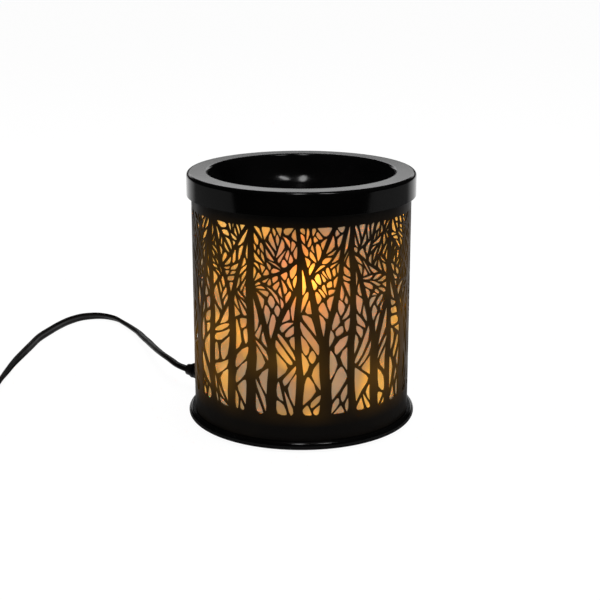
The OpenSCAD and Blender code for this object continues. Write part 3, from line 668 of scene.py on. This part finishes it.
LINK_ROUTE = [
    (-176, -75, 2.6, 0), (-177.6, -82.5, 1.4, 0), (-182.3, -89.4, 0.4, 0), (-189.3, -93.6, 0, 0),
    (-197.6, -95, 0, 0), (-208, -95, 0, 0), (-218, -94.8, 0.2, 0),
]  # fmt: skip
TAIL_ROUTE = [
    (-226, -29, 8.4, 0), (-217, -27.5, 6.4, 0), (-209, -22.6, 4.2, 0), (-203.9, -14.5, 2, 0),
    (-202, -5, 0.3, 0), (-202, 4, 1.4, 0), (-202, 12, 4.2, 0),
]  # fmt: skip
EXIT_ANGLE = 149  # where the cord leaves the warmer, round from +X
EXIT_HEIGHT = 10.5
RELIEF_END = 75.6  # from the warmer's axis to the end of the strain relief
RELIEF_DEPTHS = (6, 2)  # where in it the cord has its first points
SWITCH = (-176, -38)
SWITCH_END = 31  # half its length
CORD_IN = 7  # how far the cord runs into it
CORD_HEIGHT = 4.6  # of its middle there
COIL = (-236, -62)
COIL_RADIUS = 30
COIL_LAYERS = 4
COIL_PACE = 12  # degrees from point to point
FIRST_STEP = 285  # degrees round, where the cord first steps from the outer turn to the inner
STEP_EVERY = 620  # from there to each next step
RISE_AFTER = 310  # from a step to the next rise
EASE = 45  # degrees that a step or a rise takes
TIE = 0.5  # thickness of the tie under the coil
CLEAR = 0.05  # air between the cord and the table
PLUG = (-202, 22, 7.5)
PLUG_DEPTH = 2
GROOVE = 0.68  # half height of the cord between its cores, in radii of a core
CORE_ARC = range(-130, 131, 26)  # the round part of a core, in degrees


def laid(route, width, thickness):
    """A route's points at the height of the cord's middle."""
    lobe = (width - thickness) / 2
    return [
        (x, y, lift + lobe * abs(math.sin(math.radians(turn))) + thickness / 2 + CLEAR, turn)
        for x, y, lift, turn in route
    ]


def eased(travel, start):
    """0 before start, 1 from EASE degrees after it, and a gentle rise between them."""
    share = min(1, max(0, (travel - start) / EASE))
    return share * share * (3 - 2 * share)


def coil_points(width, thickness):
    """Flat turns wound in layers: out and in by turns, each layer begun where the last ends."""
    out, inner = COIL_RADIUS + width / 2, COIL_RADIUS - width / 2
    first = [FIRST_STEP + STEP_EVERY * k for k in range(COIL_LAYERS)]
    end = 180 + 720 * (COIL_LAYERS - 1)  # two turns to a layer, and half a turn to leave
    points = []
    for travel in range(0, end + 1, COIL_PACE):
        side, layer = 0.0, 0.0
        for k, start in enumerate(first):
            side += eased(travel, start) * (-1 if k % 2 else 1)
            layer += eased(travel, start + RISE_AFTER) if k < COIL_LAYERS - 1 else 0
        radius = out + (inner - out) * side
        angle = math.radians(-90 - travel)
        x, y = COIL[0] + radius * math.cos(angle), COIL[1] + radius * math.sin(angle)
        points.append((x, y, TIE + thickness * (layer + 0.5), 0))
    return points


def routed(points, step=3.0):
    """One smooth curve through the points, with a point about every step millimetres."""
    p = np.array(points, float)
    gaps = np.linalg.norm(np.diff(p[:, :3], axis=0), axis=1)
    slopes = np.diff(p, axis=0) / gaps[:, None]
    inner = (slopes[:-1] * gaps[1:, None] + slopes[1:] * gaps[:-1, None]) / (
        gaps[:-1] + gaps[1:]
    )[:, None]
    tangents = np.vstack([slopes[:1], inner, slopes[-1:]])
    line = [p[0]]
    for i, gap in enumerate(gaps):
        count = max(1, round(gap / step))
        for k in range(1, count + 1):
            t = k / count
            line.append(
                (2 * t**3 - 3 * t**2 + 1) * p[i]
                + (t**3 - 2 * t**2 + t) * gap * tangents[i]
                + (3 * t**2 - 2 * t**3) * p[i + 1]
                + (t**3 - t**2) * gap * tangents[i + 1]
            )
    return np.array(line)


def twin_section(width, thickness):
    """The outline of two round cores side by side, with a shallow groove between them."""
    lobe, r = (width - thickness) / 2, thickness / 2
    side = [
        (lobe + r * math.cos(math.radians(a)), r * math.sin(math.radians(a))) for a in CORE_ARC
    ]
    return [(0, -GROOVE * r), *side, (0, GROOVE * r), *[(-x, -y) for x, y in side]]


def swept_cord(name, line, section):
    """A closed tube of the section along a line of x, y, z and turn, all in millimetres."""
    rings = []
    for i, (x, y, z, turn) in enumerate(line):
        t = line[min(i + 1, len(line) - 1)][:3] - line[max(i - 1, 0)][:3]
        t = t / np.linalg.norm(t)
        side = np.cross((0, 0, 1), t)
        side = side / np.linalg.norm(side)
        up = np.cross(t, side)
        c, s = math.cos(math.radians(turn)), math.sin(math.radians(turn))
        rings += [
            (np.array((x, y, z)) + side * (a * c - b * s) + up * (a * s + b * c)) * MM
            for a, b in section
        ]
    n = len(section)
    faces = [
        (i * n + k, (i + 1) * n + k, (i + 1) * n + (k + 1) % n, i * n + (k + 1) % n)
        for i in range(len(line) - 1)
        for k in range(n)
    ]
    faces += [tuple(range(n)), tuple(reversed(range(len(rings) - n, len(rings))))]
    mesh = bpy.data.meshes.new(name)
    mesh.from_pydata([tuple(v) for v in rings], [], faces)
    piece = bpy.data.objects.new(name, mesh)
    bpy.context.scene.collection.objects.link(piece)
    return smoothed(closed(piece), 50)


def out_of_sleeve(r):
    """The point at radius r along the cord's exit, in millimetres."""
    a = math.radians(EXIT_ANGLE)
    return r * math.cos(a), r * math.sin(a)


class WARMER_OT_cords(bpy.types.Operator):
    """Lays the cord from the base to the switch, and on from there through its coil to the plug."""

    bl_idname = "warmer.cords"
    bl_label = "Cords"

    def execute(self, context):
        sizes = context.scene.warmer_sizes
        width, thickness = sizes.cord_width / MM, sizes.cord_thickness / MM
        section = twin_section(width, thickness)
        run = [
            *[(*out_of_sleeve(RELIEF_END - depth), EXIT_HEIGHT, 0) for depth in RELIEF_DEPTHS],
            *laid(RUN_ROUTE, width, thickness),
            *[(SWITCH[0], SWITCH[1] + SWITCH_END + y, CORD_HEIGHT, 0) for y in (0, -CORD_IN)],
        ]
        rest = [
            *[(SWITCH[0], SWITCH[1] - SWITCH_END + y, CORD_HEIGHT, 0) for y in (CORD_IN, 0)],
            *laid(LINK_ROUTE, width, thickness),
            *coil_points(width, thickness),
            *laid(TAIL_ROUTE, width, thickness),
            *[(PLUG[0], PLUG[1] + y, PLUG[2], 0) for y in (-PLUG_DEPTH, PLUG_DEPTH)],
        ]
        switch = [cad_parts[n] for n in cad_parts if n.startswith("switch_")]
        plug = [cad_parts[n] for n in ("coil_tie", "plug_body", "plug_blades")]
        for name, points, exit, far, lay, pieces, nodes in (
            (
                "cord_to_switch", run, (*out_of_sleeve(RELIEF_END), EXIT_HEIGHT), "fitting",
                "loose", [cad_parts["strain_relief"], *switch], ["cord_run"],
            ),
            (
                "cord_to_plug", rest, (SWITCH[0], SWITCH[1] - SWITCH_END, CORD_HEIGHT), "plug",
                "coiled", plug, ["cord_link", "cord_coil", "cord_tail"],
            ),
        ):  # fmt: skip
            line = routed(points)
            piece = swept_cord(name, line, section)
            finished_with(piece, MATERIALS["pvc"])
            settled(piece, "stand", "black_pvc", *nodes)
        return {"FINISHED"}


# The dish and the base

SKIRT = 0.012  # height
RIM_ROUND, MOUTH_ROUND = 0.001, 0.0007  # fillets of the rim's outer and inner edge
SHOULDER_IN, SHOULDER_DOWN = 0.003, 0.012  # the bowl's shoulder, from the mouth and the rim
SHOULDER_ROUND = 0.020
BOWL_FLOOR, FLOOR_ROUND = 0.029, 0.010  # radius, and fillet up to the side
PRESSED = 0.001  # the base pan's sheet
PAN_HOLE = 0.007  # under the lamp holder
PAN_IN = 0.0014  # from the sleeve's outer face to the pan's wall
PAN_ROUND = 0.0012  # fillet of its top edge
LEDGE, LEDGE_ROUND = 0.005, 0.0006  # height of the rolled lip, and fillet above it
LIP_BACK = 0.0015  # from the wall to the end of the lip's under side
CORD_HOLE = 3.7  # radius in pan and sleeve, in millimetres
SCREW_HOLE, SCREW_PLACE = 0.0016, 0.0142  # radius, and distance from the middle
VENTS, VENT_PLACE = 8, 0.033
VENT, VENT_LENGTH = 0.0015, 0.009  # radius of a slot's ends, and the distance between them
THROUGH = 0.004  # length of a cutter that passes through the sheet


class WARMER_OT_dish(bpy.types.Operator):
    """Turns the dish: skirt, flat rim and bowl from one line."""

    bl_idname = "warmer.dish"
    bl_label = "Dish"

    def execute(self, context):
        sizes = context.scene.warmer_sizes
        wall, rim = sizes.dish_wall, sizes.rim_radius
        foot, top = DISH[0].z, DISH[1].z
        mouth = rim - sizes.rim_width
        half = wall / 2
        floor = top - sizes.bowl_depth - half
        line = filleted(
            [
                (rim - half, top - SKIRT, 0),
                (rim - half, top - half, RIM_ROUND),
                (mouth + half, top - half, MOUTH_ROUND),
                (mouth - SHOULDER_IN, top - SHOULDER_DOWN, SHOULDER_ROUND),
                (BOWL_FLOOR, floor, FLOOR_ROUND),
                (0, floor, 0),
            ]
        )
        if abs(foot - (floor - half)) > 0.0005:
            raise RuntimeError("the dish's bowl and the packed dish differ in depth")
        piece = walled(turned("wax_dish", line), wall)
        finished_with(piece, MATERIALS["enamel"])
        settled(piece, "dish", "gloss_black_paint", "dish")
        return {"FINISHED"}


class WARMER_OT_base(bpy.types.Operator):
    """Turns the base pan with its rolled lip, and cuts its holes."""

    bl_idname = "warmer.base"
    bl_label = "Base"

    def execute(self, context):
        half = PRESSED / 2
        under, top = PAN[0].z, PAN[1].z
        wall = SLEEVE[1].x - PAN_IN
        edge = PAN[1].x - half
        roll = (LEDGE - under - PRESSED) / 2 - 0.00005  # just under a full half round
        line = filleted(
            [
                (PAN_HOLE, top - half, 0),
                (wall, top - half, PAN_ROUND),
                (wall, LEDGE - half, LEDGE_ROUND),
                (edge, LEDGE - half, roll),
                (edge, under + half, roll),
                (wall + LIP_BACK, under + half, 0),
            ]
        )
        piece = walled(turned("base_pan_pressed", line), PRESSED, 0.0002)
        tilt = (0, math.radians(90), math.radians(EXIT_ANGLE))
        x, y = out_of_sleeve(56)  # in the pan's wall
        holes = [cutter(CORD_HOLE * MM, 0.01, (x * MM, y * MM, EXIT_HEIGHT * MM), tilt)]
        for side in (-1, 1):
            spot = (0, side * SCREW_PLACE, top - half)
            holes.append(cutter(SCREW_HOLE, THROUGH, spot, steps=24))
        for k in range(VENTS):
            a = math.radians(360 * (k + 0.5) / VENTS)
            spot = (VENT_PLACE * math.cos(a), VENT_PLACE * math.sin(a), top - half)
            holes.append(cutter(VENT, THROUGH, spot, (0, 0, a), 24, VENT_LENGTH))
        cut_away(piece, holes)
        smoothed(piece)
        finished_with(piece, MATERIALS["enamel"])
        settled(piece, "stand", "gloss_black_paint", "base_pan")
        return {"FINISHED"}


# The sleeve: a forest is grown on the unrolled sheet, cut out, and the sheet is rolled up.
# Lengths are in millimetres, angles in degrees and areas in square millimetres.

FOREST_FOOT = 18.5
FOREST_HEIGHT = 97.0
TRUNK = 4.4
BRANCH = 1.7
TWIG = 0.9
FINE_TWIG = 0.65
THINNER = 0.74  # a branch's width as a share of the one it leaves
TRUNK_TAPER = 0.45
BOLE_LEAN = 0.7
ARM_TAPER = 1
BRANCH_TAPER = 3  # at most
OPENING = 130
ROOMS = (  # up to a share of the height: an opening and its fine parts, as shares of OPENING
    (0.1, 0.4, 0.26),
    (0.42, 1.1, 0.6),
    (0.62, 0.5, 0.26),
    (math.inf, 0.27, 0.12),
)
ROOM_SPREAD = (0.6, 1.5)  # between which these vary
SMALLEST, FINE_SMALLEST = 4, 1.6  # openings below these stay closed
LONG_CELL = 3.4  # squared length over area, above which a branch forks along the cell
FORK = (32, 52)  # from the cell's length
CROSS = (14, 40)  # from upright
SHORT_SIDE = 0.6  # sides below this leave an opening's outline
BEND_STEP = 6  # from point to point of an outline
STRIPS = 72  # flat strips in the rolled sheet


def unit(angle):
    return np.array([math.cos(math.radians(angle)), math.sin(math.radians(angle))])


def cross(a, b):
    return a[0] * b[1] - a[1] * b[0]


def area(cell):
    return abs(sum(cross(a, b) for a, b in zip(cell, [*cell[1:], cell[0]]))) / 2


def clip(cell, p, n):
    """The part of a cell on the side of p that n points to."""
    kept = []
    for a, b in zip(cell, [*cell[1:], cell[0]]):
        da, db = (a - p) @ n, (b - p) @ n
        if da >= 0:
            kept.append(a)
        if da * db < 0:
            kept.append(a + (b - a) * da / (da - db))
    return kept


class Forest:
    """Openings between trees, grown by a rule from a seed, on a sheet length long."""

    def __init__(self, length, trees, seed):
        self.length, self.trees, self.seed = length, trees, seed

    def pick(self, low, high, key):
        """A number between low and high that looks random and is always the same for a key."""
        turn = math.radians(key * 78.233 + self.seed * 12.9898)
        share = math.sin(turn) * 437.5853
        return low + (high - low) * (share - math.floor(share))

    def room(self, h, fine):
        """The size of an opening, or of its fine parts, at the share h of the forest's height."""
        for top, *shares in ROOMS:
            if h < top:
                return OPENING * shares[fine]

    def grown(self, cell, depth, key, fine=False):
        """Branches split a cell until each part is as small as its height asks."""
        size = area(cell) if len(cell) > 2 else 0
        if size < (FINE_SMALLEST if fine else SMALLEST):
            return []
        c = sum(cell) / len(cell)
        lines = [b - a for i, a in enumerate(cell[:-1]) for b in cell[i + 1 :]]
        line = max(lines, key=lambda v: v @ v)
        reach, h = math.hypot(*line), c[1] / FOREST_HEIGHT
        if not fine and size < self.room(h, False) * self.pick(*ROOM_SPREAD, key + 3):
            fine = True
        if fine and size < self.room(h, True) * self.pick(*ROOM_SPREAD, key + 5):
            return [cell]
        axis = math.degrees(math.atan2(line[1], line[0])) % 180
        if reach * reach > LONG_CELL * size:
            side = 1 if self.pick(0, 1, key + 2) < 0.5 else -1
            angle = axis + side * self.pick(*FORK, key + 1)
        else:
            angle = 90 + self.pick(*CROSS, key + 1) * (1 if axis < 90 else -1)
        w = FINE_TWIG if fine else max(TWIG, BRANCH * THINNER**depth)
        loss = w - FINE_TWIG if fine else w - TWIG
        taper = min(BRANCH_TAPER, math.degrees(math.atan(loss / reach)))
        p, out = c + line * self.pick(-0.1, 0.1, key + 4), unit(angle + 90) * w / 2
        left = clip(cell, p + out, unit(angle + 90 + taper))
        right = clip(cell, p - out, unit(angle - 90 - taper))
        return [
            *self.grown(left, depth + 1, key * 2 + 11, fine),
            *self.grown(right, depth + 1, key * 2 + 12, fine),
        ]

    def trunk_x(self, i):
        sway = 0 if i % self.trees == 0 else self.pick(-1.8, 1.8, i * 31)
        return i * self.length / self.trees + sway

    def trunk_half(self, i):
        """Half a trunk's width. The first one hides the sheet's seam and is the widest."""
        return TRUNK / 2 * (1.5 if i % self.trees == 0 else self.pick(0.7, 1.3, i * 31 + 1))

    def bay(self, i):
        """The spaces beside and above the forked tree between two tall trunks."""
        key = i * 31
        half_l, half_r = self.trunk_half(i), self.trunk_half((i + 1) % self.trees)
        left, right = self.trunk_x(i) + half_l, self.trunk_x(i + 1) - half_r
        x = (left + right) / 2 + self.pick(-2, 2, key + 2)
        half = TRUNK / 2 * self.pick(0.6, 1.2, key + 3)
        fork = FOREST_HEIGHT * self.pick(0.36, 0.74, key + 4)
        foot = 3 * self.pick(0.4, 1, key + 7)
        lean_l, lean_r = self.pick(10, 24, key + 5), self.pick(10, 24, key + 6)
        top_l, top_r = left - TRUNK_TAPER * half_l, right + TRUNK_TAPER * half_r
        corners = ((left, 0), (right, 0), (top_r, FOREST_HEIGHT), (top_l, FOREST_HEIGHT))
        whole = [np.array(p, float) for p in corners]
        bank = clip(whole, np.array([left, foot]), unit(30))
        bank = clip(bank, np.array([right, foot]), unit(150))
        arm_l, arm_r = np.array([x - half, fork - half]), np.array([x + half, fork - half])
        crotch = np.array([x, fork + 0.2 * half])
        return [
            clip(clip(bank, arm_l, unit(180 - BOLE_LEAN)), arm_l, unit(180 + lean_l - ARM_TAPER)),
            clip(clip(bank, arm_r, unit(BOLE_LEAN)), arm_r, unit(ARM_TAPER - lean_r)),
            clip(clip(bank, crotch, unit(lean_l)), crotch, unit(180 - lean_r)),
        ]

    def swayed(self, p):
        """Wood grows in curves: every point sways a little, and trunks less than branches."""
        turn, h = math.tau * p[0] / self.length, math.tau * p[1] / FOREST_HEIGHT
        bend = 0.14 * math.sin(1.6 * h + 4 * turn) + 0.05 * math.sin(4.2 * h + 9 * turn)
        bay = self.trees * turn
        rise = 1.8 * math.sin(bay + 1.4 * h) + 0.4 * math.sin(2 * bay - 2.6 * h)
        return p[0] + TRUNK * bend, p[1] + rise * math.sin(h / 2)

    def outline(self, cell):
        """A cell with its blunt corners drawn out into curves and its sharp ones kept."""
        ends = zip(cell, [*cell[1:], cell[0]])
        cell = [a for a, b in ends if math.hypot(*(b - a)) > SHORT_SIDE]
        if len(cell) < 3:
            return []
        line = []
        for a, b, c in zip([cell[-1], *cell[:-1]], cell, [*cell[1:], cell[0]]):
            u, v = a - b, c - b
            la, lc = math.hypot(*u), math.hypot(*v)
            corner = math.degrees(math.acos(np.clip(u @ v / (la * lc), -1, 1)))
            soft = 0.08 if corner < 60 else 0.22 if corner < 80 else 0.5
            reach = 12 if corner > 100 else 3
            p = b + u * min(soft, reach / la)
            q = b + v * min(soft, reach / lc)
            line += [p, (p + 2 * b + q) / 4, q]
        bent = []
        for a, b in zip(line, [*line[1:], line[0]]):
            gap = math.hypot(*(b - a))
            if gap > 0.05:
                count = max(1, round(gap / BEND_STEP))
                bent += [a + (b - a) * k / count for k in range(count)]
        return [self.swayed(p) for p in bent]

    def openings(self, i):
        """The outlines of all the openings between two tall trunks."""
        cells = []
        for part in self.bay(i):
            if area(part) > SMALLEST:
                cells += self.grown(part, 0, i * 97)
        return [line for line in map(self.outline, cells) if len(line) > 2]


def cut_sheet(name, loops):
    """A flat sheet in the XZ plane with the first loop as its edge and the rest as holes."""
    lines = [[(x * MM, y * MM, 0) for x, y in loop] for loop in loops]
    return drawn(name, lines, True, dimensions="2D", fill_mode="FRONT")


def rolled_up(piece, length, radius):
    """Rolls a flat sheet into a cylinder, its two ends meeting at the back."""
    mesh = piece.data
    flat = np.empty(len(mesh.vertices) * 3)
    mesh.vertices.foreach_get("co", flat)
    flat = flat.reshape(-1, 3)
    angle = math.pi / 2 + flat[:, 0] / length * math.tau
    rolled = np.column_stack([radius * np.cos(angle), radius * np.sin(angle), flat[:, 1]])
    mesh.vertices.foreach_set("co", rolled.ravel())
    return closed(piece, 2 * MERGE)


class WARMER_OT_sleeve(bpy.types.Operator):
    """Grows the forest, cuts it out of a flat sheet bay by bay, and rolls the sheet up."""

    bl_idname = "warmer.sleeve"
    bl_label = "Sleeve"

    def execute(self, context):
        sizes = context.scene.warmer_sizes
        outer = SLEEVE[1].x
        low, high = SLEEVE[0].z / MM, SLEEVE[1].z / MM
        length = math.tau * outer / MM
        forest = Forest(length, sizes.trees, sizes.forest_seed)
        exit_x = (EXIT_ANGLE - 90) / 360 * length
        bays = []
        for i in range(sizes.trees):
            left, right = forest.trunk_x(i), forest.trunk_x(i + 1)
            loops = [[(left, low), (right, low), (right, high), (left, high)]]
            loops += [[(x, y + FOREST_FOOT) for x, y in loop] for loop in forest.openings(i)]
            if left < exit_x < right:
                hole = [CORD_HOLE * unit(k * 15) for k in range(24)]
                loops.append([(exit_x + x, EXIT_HEIGHT + y) for x, y in hole])
            bays.append(cut_sheet(f"bay_{i}", loops))
        activate(bays[0])
        for bay in bays:
            bay.select_set(True)
        bpy.ops.object.join()
        piece = context.object
        piece.name = piece.data.name = "forest_sleeve"
        bpy.ops.object.mode_set(mode="EDIT")
        bpy.ops.mesh.select_all(action="SELECT")
        bpy.ops.mesh.remove_doubles(threshold=MERGE)
        for k in range(1, STRIPS):
            bpy.ops.mesh.select_all(action="SELECT")
            bpy.ops.mesh.bisect(plane_co=(k * length / STRIPS * MM, 0, 0), plane_no=(1, 0, 0))
        bpy.ops.object.mode_set(mode="OBJECT")
        rolled_up(piece, length * MM, outer - sizes.sleeve_wall / 2)
        modified(piece, "SOLIDIFY", thickness=sizes.sleeve_wall, offset=0, material_offset_rim=1)
        smoothed(piece, 40)
        finished_with(piece, MATERIALS["bronze"], MATERIALS["cut_edge"])
        settled(piece, "stand", "bronze_paint", "sleeve")
        return {"FINISHED"}


# The glass cylinder and the bulb

GLASS_WALL, GLASS_ROUND, GLASS_ROWS = 0.0015, 0.0006, 8
BULB_HALF = 0.00035  # half the bulb glass's wall
NECK = 0.00545  # outer radius in the cap
NECK_DOWN, NECK_UP = 0.003, 0.006  # from the cap's top to the glass's end and to its widening
BELLY = 0.4  # its widest place, as a share of the height above the cap
NECK_ROUND, BELLY_ROUND = 0.009, 0.014
TURNS, TURN_POINTS = 10, 24  # of the filament's coil
COIL_WIDE, COIL_TALL = 0.00055, 0.0004  # half a turn's width and height
SAG = 0.0006  # how far the coil's ends hang
WIRE = 0.00014  # radius
BULB_POWER, BULB_COLOUR, BULB_SOFT = 30, "#ff8f27", 0.006


class WARMER_OT_glass(bpy.types.Operator):
    """Turns the frosted glass cylinder, with ends rounded by the flame."""

    bl_idname = "warmer.glass"
    bl_label = "Frosted glass"

    def execute(self, context):
        r = GLASS[1].x - GLASS_WALL / 2
        low, high = GLASS[0].z, GLASS[1].z
        rows = [(r, low + (high - low) * k / GLASS_ROWS) for k in range(GLASS_ROWS + 1)]
        piece = walled(turned("frosted_cylinder", rows), GLASS_WALL, GLASS_ROUND, 1)
        finished_with(piece, MATERIALS["glass"], MATERIALS["clear_face"])
        settled(piece, "stand", "frosted_glass", "diffuser")
        return {"FINISHED"}


class WARMER_OT_bulb(bpy.types.Operator):
    """Turns the bulb's glass, winds its filament and lights it."""

    bl_idname = "warmer.bulb"
    bl_label = "Bulb"

    def execute(self, context):
        low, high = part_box("bulb_glass")
        cap_top = low.z + NECK_DOWN
        side, crown = high.x - BULB_HALF, high.z - BULB_HALF
        line = filleted(
            [
                (NECK - BULB_HALF, low.z, 0),
                (NECK - BULB_HALF, cap_top + NECK_UP, NECK_ROUND),
                (side, cap_top + BELLY * (high.z - cap_top), BELLY_ROUND),
                (side, crown, side - BULB_HALF - 0.0001),  # just under a full round
                (0, crown, 0),
            ]
        )
        glass = walled(turned("bulb_envelope", line, 96), 2 * BULB_HALF, 0.0002)
        finished_with(glass, MATERIALS["bulb"])
        settled(glass, "stand", "clear_glass", "bulb_glass")
        low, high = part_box("filament")
        middle, reach = high.z - 0.0007, (high.x - low.x) / 2 - 0.0008  # of the coil in its box
        coil = []
        for k in range(TURNS * TURN_POINTS + 1):
            t = k / (TURNS * TURN_POINTS) * 2 - 1
            turn = t * math.tau * TURNS
            lift = COIL_TALL * math.cos(turn) - SAG * t * t
            coil.append((t * reach, COIL_WIDE * math.sin(turn), middle + lift))
        knee = low.z + (middle - low.z) * 0.72
        legs = [
            [(x * 0.0011, 0, low.z), (x * reach * 0.7, 0, knee), (x * reach, 0, middle - SAG)]
            for x in (-1, 1)
        ]
        wires = {"dimensions": "3D", "bevel_depth": WIRE, "bevel_resolution": 1}
        piece = drawn("filament_coil", [coil, *legs], False, **wires)
        finished_with(smoothed(piece), MATERIALS["tungsten"])
        settled(piece, "stand", "tungsten", "filament")
        deselect()
        bpy.ops.object.light_add(type="POINT", location=(reach * 0.8, 0, middle))
        lamp = context.object
        lamp.name = "bulb_light"
        lamp.data.energy = BULB_POWER
        lamp.data.color = linear(BULB_COLOUR)[:3]
        lamp.data.shadow_soft_size = BULB_SOFT
        return {"FINISHED"}


# The pieces that keep the shape of their solids, by finish

KEPT = {
    "bronze": ("seat_ring",),
    "silicone": ("upper_gasket", "lower_gasket"),
    "satin": ("bottom_cover",),
    "zinc": ("cover_posts", "cover_screws", "holder_screws", "holder_nuts", "switch_screws"),
    "rubber": ("rubber_feet",),
    "porcelain": ("lamp_holder",),
    "brass": ("socket_shell", "socket_contact", "bulb_cap", "switch_terminals", "plug_blades"),
    "vitrite": ("bulb_contact",),
    "bulb": ("bulb_stem",),
    "pvc": ("lead_wires", "strain_relief", "coil_tie", "plug_body"),
    "phenolic": ("switch_lower_shell", "switch_upper_shell", "switch_rocker"),
}


class WARMER_OT_finishes(bpy.types.Operator):
    """Gives each remaining piece its finish."""

    bl_idname = "warmer.finishes"
    bl_label = "Finishes"

    def execute(self, context):
        for finish, names in KEPT.items():
            for name in names:
                finished_with(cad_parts[name], MATERIALS[finish])
        return {"FINISHED"}


class WARMER_PT_panel(bpy.types.Panel):
    """Lists the sizes, the colours and the building steps."""

    bl_idname = "WARMER_PT_panel"
    bl_label = "Wax Warmer"
    bl_space_type = "VIEW_3D"
    bl_region_type = "UI"
    bl_category = "Wax Warmer"

    def draw(self, context):
        for group in (context.scene.warmer_sizes, context.scene.warmer_colours):
            for name in type(group).__annotations__:
                self.layout.prop(group, name)
        for step in STEPS:
            self.layout.operator(step.bl_idname)


STEPS = (
    WARMER_OT_camera, WARMER_OT_stage, WARMER_OT_cords, WARMER_OT_dish, WARMER_OT_base,
    WARMER_OT_sleeve, WARMER_OT_glass, WARMER_OT_bulb, WARMER_OT_finishes,
)  # fmt: skip
CLASSES = (WarmerSizes, WarmerColours, *STEPS, WARMER_PT_panel)
MATERIALS = {}


def register():
    for kind in CLASSES:
        bpy.utils.register_class(kind)
    bpy.types.Scene.warmer_sizes = bpy.props.PointerProperty(type=WarmerSizes)
    bpy.types.Scene.warmer_colours = bpy.props.PointerProperty(type=WarmerColours)


def unregister():
    del bpy.types.Scene.warmer_colours
    del bpy.types.Scene.warmer_sizes
    for kind in reversed(CLASSES):
        bpy.utils.unregister_class(kind)


def main():
    register()
    MATERIALS.update(finishes())
    for step in STEPS:
        group, name = step.bl_idname.split(".")
        getattr(getattr(bpy.ops, group), name)()


if __name__ == "__main__":
    main()
